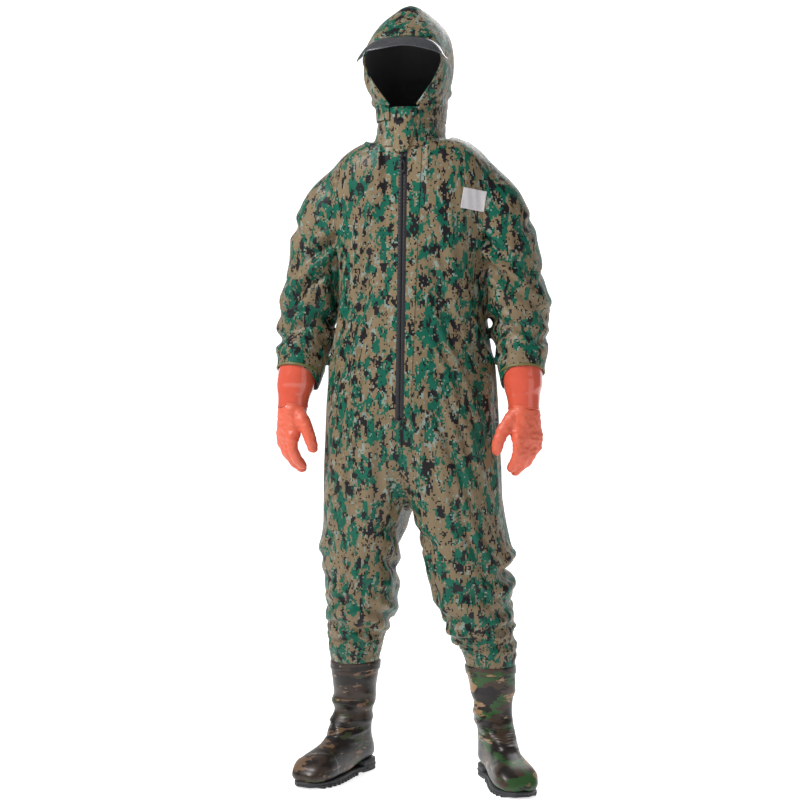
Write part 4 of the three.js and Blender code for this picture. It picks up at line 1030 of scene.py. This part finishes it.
def laid_strip(name, targets, lines, lift, thick, material, body, nodes=(), way=Vector((0, 1, 0))):
    """lines are rows of starting points in front of the cloth; each is dropped on to it."""
    bpy.context.view_layer.update()
    rows = []
    for line in lines:
        row = [onto(targets, p, way, lift) for p in line]
        found = [p for p in row if p is not None]
        rows.append([p if p is not None else found[0] for p in row])
    top = [[p - way * thick for p in row] for row in rows]
    columns = len(rows[0])
    points = [p for row in rows + top for p in row]
    size = len(rows) * columns
    faces = grid_faces(len(rows), columns, False)
    faces += [tuple(size + i for i in reversed(face)) for face in grid_faces(len(rows), columns, False)]
    rim = [i for i in range(columns)] + [j * columns + columns - 1 for j in range(1, len(rows))]
    rim += [size - 1 - i for i in range(1, columns)] + [j * columns for j in range(len(rows) - 2, 0, -1)]
    faces += [
        (rim[i], rim[(i + 1) % len(rim)], size + rim[(i + 1) % len(rim)], size + rim[i])
        for i in range(len(rim))
    ]
    obj = shape(name, points, faces)
    outward(obj)
    modify(obj, "BEVEL", width=thick * 0.45, segments=2, limit_method="ANGLE", angle_limit=math.radians(50))
    settle(obj)
    place = obj.data.attributes.new("cloth_place", "FLOAT_VECTOR", "POINT")
    place.data.foreach_set("vector", as_array(obj).astype(np.float32).ravel())
    return finish_piece(obj, body, material, nodes)


halves = {side: bpy.data.objects[f"suit_half_{side}"] for side in SIDE}
for side, mirror in SIDE.items():
    lines = []
    for up in np.linspace(-0.01, ZIP_LENGTH - 0.004, 64):
        edge = 0.025 + 0.017 * up / ZIP_LENGTH
        lines.append(
            [
                on_zip(mirror * a, 0.12, up)
                for a in (0.0095, 0.012, 0.017, (0.017 + edge) / 2, edge - 0.002, edge)
            ]
        )
    laid_strip(
        f"placket_{side}", [halves[side]], lines, -0.0002, 0.0018, strip_cloth_painted_light, "suit",
        [f"placket_{side}"]
    )
label_lines = []
for v in np.linspace(0, 1, 18):
    label_lines.append(
        [
            Vector((0.129 + 0.048 * u + 0.007 * v, -0.4, 1.302 + 0.046 * v - 0.009 * (u - 0.5)))
            for u in np.linspace(0, 1, 18)
        ]
    )
laid_strip(
    "chest_label", [halves["left"], bpy.data.objects["sleeve_left"]], label_lines,
    -0.0002, 0.0022, label_white, "suit", ["chest_label"],
)
print("strips and label laid on")

# %% [markdown]
# The collar and hood are one more tube of the same cloth. The hood is a fan of arches that all start at the
# chin: that is how its two side panels are cut, and it is also how it folds when it is pushed back. Each
# arch is a smooth curve through eleven points, and the folds of the neck are laid in as ridged noise, as on
# the suit.

# %% Hood and collar
CHIN_Y, CHIN_Z = -106.0, 1531.0
COLLAR = [(1463.35, 80, front_line(1463), 76), (1492, 72, -101.5, 82), (1530.65, 77, -106, 92)]
HOOD = [
    (0.6, 198, 24, 67, 78, 70, 40), (12, 213, 25, 70.5, 82, 74, 43), (21, 229, 26, 74, 86, 77.5, 45),
    (34, 248, 27, 79, 91, 81, 45), (48, 262, 27, 82.5, 95, 82, 38), (61, 266, 27, 83.5, 96, 81, 28),
    (72, 246, 27, 80, 95, 80, 27), (82, 198, 27, 66, 89, 84, 44), (93, 145, 27, 50, 76, 90, 66),
]


def collar_ring(z, count, grow=0.0):
    _, a, front, back = through(COLLAR, z)
    across, along = oval(np.linspace(0, 2 * math.pi, count, endpoint=False) - math.pi / 2, 2.1)
    x = (a + grow) * across
    y = (front + back) / 2 + ((back - front) / 2 + grow) * along
    return np.stack([x * MM, y * MM + SHIFT_Y, np.full(count, z * MM)], 1)


def spline(points, count, low=0.0, high=1.0):
    """Points along a Catmull-Rom curve, evenly spaced in its parameter between low and high."""
    points = np.asarray(points, float)
    padded_ends = np.concatenate([[2 * points[0] - points[1]], points, [2 * points[-1] - points[-2]]])
    out = []
    for v in np.linspace(low, high, count) * (len(points) - 1):
        i = min(int(v), len(points) - 2)
        t = v - i
        p0, p1, p2, p3 = padded_ends[i:i + 4]
        out.append(
            0.5
            * (
                2 * p1 + (p2 - p0) * t + (2 * p0 - 5 * p1 + 4 * p2 - p3) * t**2
                + (3 * p1 - p0 - 3 * p2 + p3) * t**3
            )
        )
    return np.array(out)


def hood_arch(angle, count, low=0.02, high=0.98, grow=0.0):
    _, reach, base, low_half, mid, high_half, top = through(HOOD, angle)
    half = [
        (base, 0), (low_half, reach * 0.2), (mid, reach * 0.47), (high_half, reach * 0.74),
        (top, reach * 0.95)
    ]
    flat = spline(half + [(0, reach)] + [(-px, r) for px, r in reversed(half)], count, low, high)
    away = flat - np.array([0, reach * 0.45])
    flat += grow * away / np.linalg.norm(away, axis=1, keepdims=True)
    turn = math.radians(angle)
    return np.stack(
        [
            flat[:, 0] * MM, (CHIN_Y + flat[:, 1] * math.cos(turn)) * MM + SHIFT_Y,
            (CHIN_Z + flat[:, 1] * math.sin(turn)) * MM
        ], 1
    )


def store_place(obj):
    place = obj.data.attributes.new("cloth_place", "FLOAT_VECTOR", "POINT")
    place.data.foreach_set("vector", as_array(obj).astype(np.float32).ravel())


def crumple(obj, depths):
    """Push points out along their normals by a depth for each point."""
    points = as_array(obj)
    points += as_array(obj, "normal") * depths[:, None]
    obj.data.vertices.foreach_set("co", points.ravel())
    obj.data.update()


def collar_skirt(z, count):
    """Below its seam the collar lies over the top edge of the suit."""
    _, c, a, front, back, n = through(TRUNK, z)
    across, along = oval(np.linspace(0, 2 * math.pi, count, endpoint=False) - math.pi / 2, n)
    y = (front + back) / 2 + ((back - front) / 2 + 2.4) * along
    return np.stack([(c + a + 2.4) * across * MM, y * MM + SHIFT_Y, np.full(count, z * MM)], 1)


skirt = [collar_skirt(z, 64) for z in (1446, 1449, 1452, 1455, 1458, 1461)]
collar = loft(
    "collar",
    skirt + [
        collar_ring(z, 64, 2.0 - 2.2 * float(smooth_step(z, 1500, 1528)))
        for z in np.linspace(1465, 1534, 16)
    ]
)
soften(collar, 0.5, 3)
store_place(collar)
spots = as_array(collar)
depths = 0.006 * (ridges(spots, (7, 7, 26), 55.0) - 0.4) * bell(spots[:, 2], 1.492, 0.026)
crumple(collar, depths * (1 - bell(spots[:, 0], 0.0, 0.03) * (spots[:, 1] < SHIFT_Y)))
finish_piece(clothe(collar), "suit", [], ["collar"])

hood_angles = np.concatenate([np.linspace(0.2, 30, 16), np.linspace(32, 93, 28)])
neck_rows = []
for down, narrow in ((26, 0.965), (18, 0.975), (10, 0.985), (4, 0.995)):
    row = hood_arch(0.2, 84, grow=2.0)
    row[:, 0] *= narrow
    row[:, 2] -= down * MM
    neck_rows.append(row)
hood = loft("hood", neck_rows + [hood_arch(v, 84, grow=1.2) for v in hood_angles], closed=False)
store_place(hood)
spots = as_array(hood)
turned = np.degrees(np.arctan2(spots[:, 2] - CHIN_Z * MM, spots[:, 1] - CHIN_Y * MM - SHIFT_Y))
depths = 0.010 * (ridges(spots, (9, 6, 24), 61.0) - 0.4) * bell(turned, 15, 13)
depths += 0.007 * (ridges(spots, (12, 10, 4), 66.0) - 0.4) * bell(turned, 58, 26)
centre_seam = bell(spots[:, 0], 0.0, 0.0035) * 0.0022 - bell(spots[:, 0], 0.0, 0.010) * 0.0012
at_edge = smooth_step(turned, 88, 93)
crumple(hood, depths * (1 - at_edge) * smooth_step(turned, 2, 14) + centre_seam)
fold_way = Vector((0, -math.sin(math.radians(13.8)), math.cos(math.radians(13.8))))
fold_at = Vector((0, CHIN_Y * MM + SHIFT_Y, CHIN_Z * MM)) + 0.1 * Vector(
    (0, math.cos(math.radians(13.8)), math.sin(math.radians(13.8)))
)
finish_piece(
    clothe(hood), "hood", [], ("hood_panel_left", "hood_panel_right", "hood_neck_fold"),
    blend=("suit", "hood", fold_at - 0.045 * fold_way, fold_at + 0.045 * fold_way),
)
print("collar and hood sewn")

# %% [markdown]
# The hood's front edge is turned back over a cord, so it reads as a soft roll. The brim is a crescent of
# clear vinyl welded on above the brow: its back edge follows an arch of the hood, its front edge runs out
# and down.

# %% Hood edge and brim
def tube(name, path, radius, sides=8, closed=False):
    path = [np.asarray(p, float) for p in path]
    rings = []
    for i, p in enumerate(path):
        way = path[(i + 1) % len(path) if closed else min(i + 1, len(path) - 1)] - path[
            i - 1 if closed or i else 0
        ]
        way /= np.linalg.norm(way)
        one = np.cross(way, [0, 0.37, 1.0])
        one /= np.linalg.norm(one)
        two = np.cross(way, one)
        t = np.linspace(0, 2 * math.pi, sides, endpoint=False)[:, None]
        rings.append(p + radius * (np.cos(t) * one + np.sin(t) * two))
    if closed:
        return loft(name, [*rings, rings[0]])
    return loft(name, rings, capped=True)


edge_rings = []
for angle, grow in (
    (90.2, 1.4), (92.2, 1.9), (93.4, 0.8), (93.6, -1.2), (92.6, -3.2), (90.6, -3.4), (90.2, -2.4),
    (92.0, -1.4), (92.2, 0.2)
):
    edge_rings.append(hood_arch(angle, 72, grow=grow))
binding = loft("face_edge_binding", [np.array(ring) for ring in zip(*edge_rings)], closed=True, capped=True)
store_place(binding)
finish_piece(binding, "hood", suit_cloth, ["face_edge_binding"])

BRIM = {"reach": 42, "drop": 40, "flare": 13, "from": 0.3, "to": 0.7, "root": 91.2}
brim_rows = []
brim_spots = np.linspace(0, 1, 57)
brim_share = np.sin(np.clip(brim_spots, 0.0, 1.0) * math.pi).clip(0) ** 0.5
for out in np.linspace(0, 1, 12):
    row = hood_arch(BRIM["root"], 57, BRIM["from"], BRIM["to"], grow=2.2 + out * BRIM["flare"])
    row[:, 1] -= (out * BRIM["reach"] * brim_share + 1) * MM
    row[:, 2] += (
        1 - out * BRIM["drop"] * (0.4 + 0.6 * brim_share) + 5 * math.sin(math.pi * out) * brim_share
    ) * MM
    ripple = 0.0022 * out * np.sin(brim_spots * math.pi * 5 + 0.6) * brim_share
    row[:, 2] += ripple
    brim_rows.append(row)
brim = loft("hood_brim", brim_rows, closed=False)
modify(brim, "SOLIDIFY", thickness=0.0011, offset=0, use_rim=True)
finish_piece(brim, "hood", clear_brim, ["hood_brim"])
rim = tube("brim_rim", list(brim_rows[-1]), 0.0009)
finish_piece(
    rim, "hood", grained("brim_edge", paint(58, 60, 63), paint(86, 88, 92), 0.002, 0.25, 0.05)
)
print("hood edge and brim made")

# %% [markdown]
# The chin flap is one tongue of doubled cloth, sewn to the collar on the wearer's left. It covers the zip's
# top and snaps down on the right. Its own snap cap is a small domed disc, turned like any metal button.

# %% Chin flap and snap
def collar_front(z, x):
    _, a, front, back = through(COLLAR, max(z, 1463.35))
    y = (front + back) / 2 - (back - front) / 2 * (1 - min(abs(x / a), 0.999) ** 2.1) ** (1 / 2.1)
    return y - (max(0.0, 1463.35 - z) * FRONT_LEAN)


def flap_point(u, v, out):
    x = -24 + 50 * u
    low = 1432 + 36 * float(smooth_step(x, 4, 26)) + 3.0 * (1 - min(1, (x + 24) / 6)) ** 2
    z = low + (1528 - low - 2.5 * (1 - min(1, (x + 24) / 6)) ** 2) * v
    off = 0.5 + 3.9 * (1 - float(smooth_step(x, 15, 25)))
    return np.array([x * MM, (collar_front(z, x) - off - out) * MM + SHIFT_Y, z * MM])


flap_rows = []
for out in (0.0, 0.9, 1.9, 2.6):
    inset = {0.0: 0.012, 0.9: 0.0, 1.9: 0.0, 2.6: 0.012}[out]
    border = [(u, 0) for u in np.linspace(0, 1, 26)] + [(1, v) for v in np.linspace(0, 1, 34)[1:]]
    border += [(u, 1) for u in np.linspace(1, 0, 26)[1:]] + [(0, v) for v in np.linspace(1, 0, 34)[1:-1]]
    flap_rows.append(
        [flap_point(inset + (1 - 2 * inset) * u, inset + (1 - 2 * inset) * v, out) for u, v in border]
    )


def face_sheet(name, out, dent):
    rows = [
        [flap_point(0.012 + 0.976 * u, 0.012 + 0.976 * v, out - dent(u, v)) for u in np.linspace(0, 1, 26)]
        for v in np.linspace(0, 1, 34)
    ]
    return loft(name, rows, closed=False)


def stitch_dent(u, v):
    gap = min(u * 50, v * 96, (1 - v) * 96)
    return 0.7 * math.exp(-(((gap - 5.5) / 1.3) ** 2))


flap = join(
    [
        loft("chin_flap", flap_rows), face_sheet("flap_face", 2.6, stitch_dent),
        face_sheet("flap_back", 0.0, lambda u, v: 0)
    ]
)
modify(flap, "WELD", merge_threshold=0.0001)
settle(flap)
outward(flap)
store_place(flap)
finish_piece(flap, "chin_flap", strip_cloth_painted_light, ["chin_flap"])

SNAP_Z, SNAP_X = 1503.0, -5.0
snap_lean = Vector((0, -1, -0.115)).normalized()
snap_spot = Vector((SNAP_X * MM, collar_front(SNAP_Z, SNAP_X) * MM + SHIFT_Y, SNAP_Z * MM))


def turned_disc(name, profile, count=40):
    """A profile of (radius, distance out) in millimetres, turned about the snap's axis."""
    up = Vector((0, -0.115, 1)).normalized()
    rings = []
    for radius, out in profile:
        turn = np.linspace(0, 2 * math.pi, count, endpoint=False)
        rings.append(
            [
                snap_spot + snap_lean * out * MM + (Vector((1, 0, 0)) * math.cos(t) + up * math.sin(t))
                * radius * MM for t in turn
            ]
        )
    return loft(name, rings, capped=True)


cap = turned_disc(
    "snap_cap",
    [
        (2.0, 3.9), (2.0, 6.9), (6.9, 6.9), (7.5, 7.3), (7.5, 7.8), (6.9, 8.4), (6.1, 8.6), (5.7, 8.3),
        (5.2, 8.3), (3.4, 8.9), (1.4, 9.1), (0.3, 9.1)
    ]
)
finish_piece(cap, "chin_flap", zip_metal, ["snap_cap"])
for name, metal in (("snap_socket", zip_metal), ("snap_stud", snap_steel), ("snap_base", snap_steel)):
    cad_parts[name].data.materials.clear()
    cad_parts[name].data.materials.append(metal)
print("flap and snap made")

# %% [markdown]
# The gloves are welded inside the sleeves. Each has a glossy gauntlet that tapers to the wrist and a matt
# hand. The hand is easiest as a union of rounded bones, the palm, four curled fingers and a thumb, which a
# voxel remesh melts into one skin; smoothing then takes off the steps, and noise gives the vinyl its
# creases.

# %% Gloves
WRIST = (268, -62, 856, 35, 31)
GAUNTLET = [
    (258.5, -24, 970, 49.5, 50.5), (262, -38, 938, 45, 45.5), (265, -49, 908, 43, 41),
    (267, -57, 880, 37, 34), WRIST, (268, -65, 844, 34, 30)
]
HAND_TURN = math.radians(42)
FINGERS = [
    (29, 66, 74, 12.5, 0.5), (9, 72, 82, 12.8, 0.62), (-11, 69, 78, 12.2, 0.75), (-29, 60, 64, 11, 0.88)
]
THUMB = [
    ((16, 4, 0), 19), ((37, 26, -4), 17), ((55, 52, -10), 14.5), ((62, 76, -15), 13.5), ((61, 91, -20), 12)
]


def hand_spot(side, across, along, up):
    mirror = SIDE[side]
    thumbward = np.array([-mirror * math.sin(HAND_TURN), -math.cos(HAND_TURN), 0])
    backward = np.array([mirror * math.cos(HAND_TURN), -math.sin(HAND_TURN), 0])
    wrist = np.array([mirror * WRIST[0], WRIST[1] + SHIFT_Y / MM, WRIST[2]])
    return (wrist + across * thumbward + up * backward + np.array([0, 0, -along])) * MM


def bone(name, start, end, r0, r1):
    """A rounded rod between two points."""
    start, end = np.asarray(start), np.asarray(end)
    way = (end - start) / np.linalg.norm(end - start)
    one = np.cross(way, [0.3, 0.9, 0.1])
    one /= np.linalg.norm(one)
    two = np.cross(way, one)
    t = np.linspace(0, 2 * math.pi, 16, endpoint=False)[:, None]
    rings = []
    for lean in np.linspace(-80, 0, 5):
        a = math.radians(lean)
        rings.append(
            start + way * r0 * math.sin(a) + r0 * math.cos(a) * (np.cos(t) * one + np.sin(t) * two)
        )
    for lean in np.linspace(0, 80, 5):
        a = math.radians(lean)
        rings.append(end + way * r1 * math.sin(a) + r1 * math.cos(a) * (np.cos(t) * one + np.sin(t) * two))
    return loft(name, rings, capped=True)


RISE = 11  # the hand bends back this far at the knuckles, and the fingers curl forward from there

for side, mirror in SIDE.items():
    bones = []
    for across, start, length, r, curl in FINGERS:
        joints = [hand_spot(side, across * 0.9, start - 18, RISE * 0.8)]
        along, up = start, RISE * 1.5
        joints.append(hand_spot(side, across, along, up))
        for share, turn in ((0.42, 0.15), (0.33, 0.95), (0.25, 1.6)):
            along += length * share * math.cos(curl * turn)
            up -= length * share * math.sin(curl * turn)
            joints.append(hand_spot(side, across * (1.04 - 0.1 * (along - start) / length), along, up))
        for k in range(4):
            bones.append(
                bone(
                    f"bone_{side}", joints[k], joints[k + 1], r * (1.05 - 0.05 * k) * MM,
                    r * (1.0 - 0.05 * k) * MM
                )
            )
    for (one, r0), (two, r1) in zip(THUMB, THUMB[1:]):
        bones.append(bone(f"bone_{side}", hand_spot(side, *one), hand_spot(side, *two), r0 * MM, r1 * MM))
    palm_rings = []
    for along, a, b, lift in (
        (-22, 35.4, 31.4, 0), (-6, 35.6, 31.6, 0), (6, 36, 31.5, 1), (24, 37.5, 28, 4), (48, 40.5, 23.5, 8),
        (70, 41, 19, 12), (84, 37, 14, 13)
    ):
        across, up = oval(np.linspace(0, 2 * math.pi, 28, endpoint=False), 2.3)
        palm_rings.append([hand_spot(side, a * p, along, b * q + lift) for p, q in zip(across, up)])
    glove = join([loft(f"glove_{side}", palm_rings, capped=True), *bones])
    modify(glove, "REMESH", mode="VOXEL", voxel_size=0.0026)
    settle(glove)
    soften(glove, 0.5, 5)
    slice_off(glove, (0, 0, 0.866), (0, 0, 1), lambda p: True)
    spots = as_array(glove)
    creases = 0.0016 * ridges(spots, (30, 30, 75), 71.0) + 0.0008 * ridges(spots, (90, 90, 90), 75.0)
    crumple(
        glove,
        (creases - 0.0009) * (1 - smooth_step(spots[:, 2], 0.842, 0.854)) - 0.0035 * smooth_step(
            spots[:, 2], 0.855, 0.860
        )
    )
    modify(glove, "SUBSURF", levels=1, render_levels=1)
    modify(glove, "SOLIDIFY", thickness=0.0018, offset=-1, use_rim=True)
    finish_piece(glove, f"forearm_{side}", glove_matt, [f"glove_{side}"])

    rings = []
    for v in np.linspace(0, 4.25, 46):
        ring = path_ring(GAUNTLET, v, mirror, 48)
        rings.append(ring)
    gauntlet = loft(f"gauntlet_{side}", rings)
    spots = as_array(gauntlet)
    waves = 0.0016 * ridges(spots, (14, 14, 9), 81.0) + 0.0012 * ridges(spots, (8, 8, 34), 84.0)
    seam = 0.0014 * bell(spots[:, 2], 0.857, 0.0026) - 0.0008 * smooth_step(-spots[:, 2], -0.856, -0.852)
    crumple(
        gauntlet,
        (waves - 0.0014) * smooth_step(spots[:, 2], 0.862, 0.89) * (
            1 - smooth_step(spots[:, 2], 0.925, 0.94)
        ) + seam
    )
    modify(gauntlet, "SUBSURF", levels=1, render_levels=1)
    modify(gauntlet, "SOLIDIFY", thickness=0.0018, offset=-1, use_rim=True)
    finish_piece(gauntlet, f"forearm_{side}", glove_gloss, [f"gauntlet_{side}"])

    hem_rings = []
    for v, grow in ((8.90, -1.2), (8.93, 0.5), (8.985, 0.7), (9.03, 0.2), (9.04, -1.5), (8.98, -3.0)):
        hem_rings.append(path_ring(SLEEVE, v, mirror, 64, grow=grow))
    hem = loft(f"cuff_hem_{side}", hem_rings)
    modify(hem, "SOLIDIFY", thickness=0.0006, offset=-1, use_rim=True)
    finish_piece(hem, f"forearm_{side}", hem_olive, [f"cuff_hem_{side}"])
    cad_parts[f"glove_liner_{side}"].data.materials.clear()
    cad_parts[f"glove_liner_{side}"].data.materials.append(glove_knit)
print("gloves made")

# %% [markdown]
# Each rubber boot is moulded in one go round a last. Its sections lean over as they go from the upright
# shaft to the flat forefoot, so they are given by a top point and a bottom point. Fine ribs at the ankle
# let it flex. Below comes the sole with its cleats, a heel block, and a raised band along the join.

# %% Boots
BOOT = {"left": (199, 6, 25, -0.10), "right": (150, 6, 19, -0.08)}
UPPER = [
    (0, 58, 266, -58, 266, 58, 2), (1, 56, 232, -59, 230, 55, 2), (2, 49, 184, -56, 178, 48, 2),
    (3, 46, 146, -54, 130, 45, 2.1), (4, 56, 120, -64, 86, 42, 2.2), (5, 72, 104, -80, 52, 40, 2.4),
    (6, 88, 93, -74, 30, 39, 2.6), (7, 104, 84, -10, 24, 39, 2.6), (8, 124, 76, 58, 15, 44, 2.6),
    (9, 146, 69, 112, 13, 48, 2.6), (10, 167, 61, 150, 13, 47, 2.6), (11, 186, 48, 180, 14, 37, 2.4),
    (12, 196, 33, 193, 18, 19, 2.2),
]
SOLE_OUTLINE = [
    (-84, 0), (-80, 20), (-66, 33), (-40, 37), (0, 35), (40, 37), (85, 46), (125, 51), (158, 47), (184, 34),
    (198, 17), (202, 0)
]


def foot_spot(side, forward, sideways, up):
    bx, by, turn, lean = BOOT[side]
    t = math.radians(turn)
    across = bx + forward * math.sin(t) + sideways * math.cos(t) + lean * max(0.0, up - 90)
    return np.array(
        [SIDE[side] * across, by - forward * math.cos(t) + sideways * math.sin(t) + SHIFT_Y / MM, up]
    ) * MM


def upper_ring(side, v, count, grow=0.0):
    _, tf, tz, bf, bz, w, n = through(UPPER, v)
    half = math.hypot(tf - bf, tz - bz) / 2
    ring = []
    for t in np.linspace(0, 2 * math.pi, count, endpoint=False):
        up, across = oval(t, n)
        reach = 1 + grow / half
        ring.append(
            foot_spot(
                side, (tf + bf) / 2 + (tf - bf) / 2 * up * reach, (w + grow) * across,
                (tz + bz) / 2 + (tz - bz) / 2 * up * reach
            )
        )
    return ring


def outline(side, inset, up, foot=-84, toe=202, count=44):
    """The sole's outline drawn in by inset. foot and toe cut it straight off across the boot."""
    curve = spline(SOLE_OUTLINE, 200)
    share = 0.5 - 0.5 * np.cos(np.linspace(0, math.pi, count))
    forward = (foot + (toe - foot) * share) * (1 - inset / 150)
    half = np.interp(forward, curve[:, 0], curve[:, 1])
    half = np.maximum(half - inset, 0.3)
    both = list(zip(forward, half)) + list(zip(forward[::-1], -half[::-1]))
    return [foot_spot(side, f, w, up) for f, w in both]


BEND = 118.0  # the ankle's height, where the shaft folds over the foot

for side in SIDE:
    upper = loft(f"boot_upper_{side}", [upper_ring(side, v, 72) for v in np.linspace(0, 12, 150)])
    spots = as_array(upper)
    ankle = foot_spot(side, 0, 0, BEND)
    in_front = smooth_step(ankle[1] - spots[:, 1], -0.02, 0.03)
    fine = 0.0009 * np.sin(spots[:, 2] / 0.0058 * 2 * math.pi + 5 * ridges(spots, (20, 20, 8), 17.0))
    fold = 0.0095 * (ridges(spots, (7, 7, 24), 91.0) - 0.45) * bell(spots[:, 2], 0.155, 0.05)
    fold += 0.006 * (ridges(spots, (11, 11, 40), 77.0) - 0.4) * bell(spots[:, 2], 0.115, 0.03) * in_front
    dents = 0.0035 * (ridges(spots, (9, 9, 12), 13.0) - 0.4) * bell(spots[:, 2], 0.215, 0.03)
    toe_line = foot_spot(side, 140, 0, 60)
    toe_cap = 0.0012 * smooth_step(toe_line[1] - spots[:, 1], -0.002, 0.002) * (spots[:, 2] < 0.075)
    low_edge = 0.0040 * (1 - smooth_step(spots[:, 2], 0.020, 0.040))
    top_roll = 0.0022 * bell(spots[:, 2], 0.2605, 0.0035)
    crumple(
        upper,
        fold + dents + fine * bell(spots[:, 2], 0.125, 0.03) * in_front
        + toe_cap + low_edge + top_roll - 0.0012,
    )
    tip = bmesh.new()
    tip.from_mesh(upper.data)
    tip.verts.ensure_lookup_table()
    bmesh.ops.contextual_create(tip, geom=[tip.verts[149 * 72 + i] for i in range(72)])
    tip.to_mesh(upper.data)
    tip.free()
    outward(upper)
    modify(upper, "SOLIDIFY", thickness=0.003, offset=-1, use_rim=True)
    finish_piece(
        upper, f"shin_{side}", boot_camo[side], [f"boot_shaft_{side}", f"boot_foot_{side}"]
    )

    levels = [
        (4, 4.0), (2.8, 4.6), (2.4, 6), (2.4, 8), (3.4, 8.6), (3.4, 9.4), (2.4, 10), (2.4, 13), (4, 15),
        (7, 15.4)
    ]
    rows = [outline(side, inset, up, foot=-30 if up < 12 else -80) for inset, up in levels]
    cleats = [loft(f"boot_sole_{side}", rows, capped=True)]
    for k in range(10):
        f = 22 + k * 16
        w = float(np.interp(f + 4, [p[0] for p in SOLE_OUTLINE], [p[1] for p in SOLE_OUTLINE])) - 0.4
        for s in (-1, 1):
            corners_at = [(f, s * 3), (f + 8, s * 3), (f + 5, s * w), (f - 3, s * w)]
            rows = [
                [foot_spot(side, a * (1 - d / 300), b * (1 - d / 60), up) for a, b in corners_at]
                for d, up in ((1, 0.0), (0, 1.0), (0, 8.0))
            ]
            cleats.append(loft("cleat", rows, capped=True))
    sole = join(cleats)
    outward(sole)
    finish_piece(sole, f"shin_{side}", sole_rubber, [f"boot_sole_{side}"])

    heel_levels = [
        (5, 0.0), (4, 0.8), (4, 5), (4.8, 5.6), (4.8, 7.6), (4, 8.2), (4, 12), (4.8, 12.6), (4.8, 14.6),
        (4, 15.2), (4, 22), (4.6, 26), (8, 27)
    ]
    heel = loft(
        f"boot_heel_{side}",
        [outline(side, inset, up, toe=-13 - 0.25 * (up > 12) * (up - 12)) for inset, up in heel_levels],
        capped=True
    )
    finish_piece(heel, f"shin_{side}", sole_rubber, [f"boot_heel_{side}"])

    band_rings = []
    for v, grow in (
        (0.62, -0.8), (0.60, 1.3), (0.5, 1.9), (0.3, 1.3), (0.12, 1.5), (0.0, 1.2), (0.0, -3.4),
        (0.08, -3.6)
    ):
        band_rings.append(upper_ring(side, v, 72, grow))
    band = loft(f"boot_band_{side}", band_rings)
    modify(band, "SUBSURF", levels=1, render_levels=1)
    modify(band, "SOLIDIFY", thickness=0.0006, offset=-1, use_rim=True)
    finish_piece(band, f"shin_{side}", boot_camo[side], [f"boot_band_{side}"])
    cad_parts[f"insole_{side}"].data.materials.clear()
    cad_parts[f"insole_{side}"].data.materials.append(foam)
print("boots made")
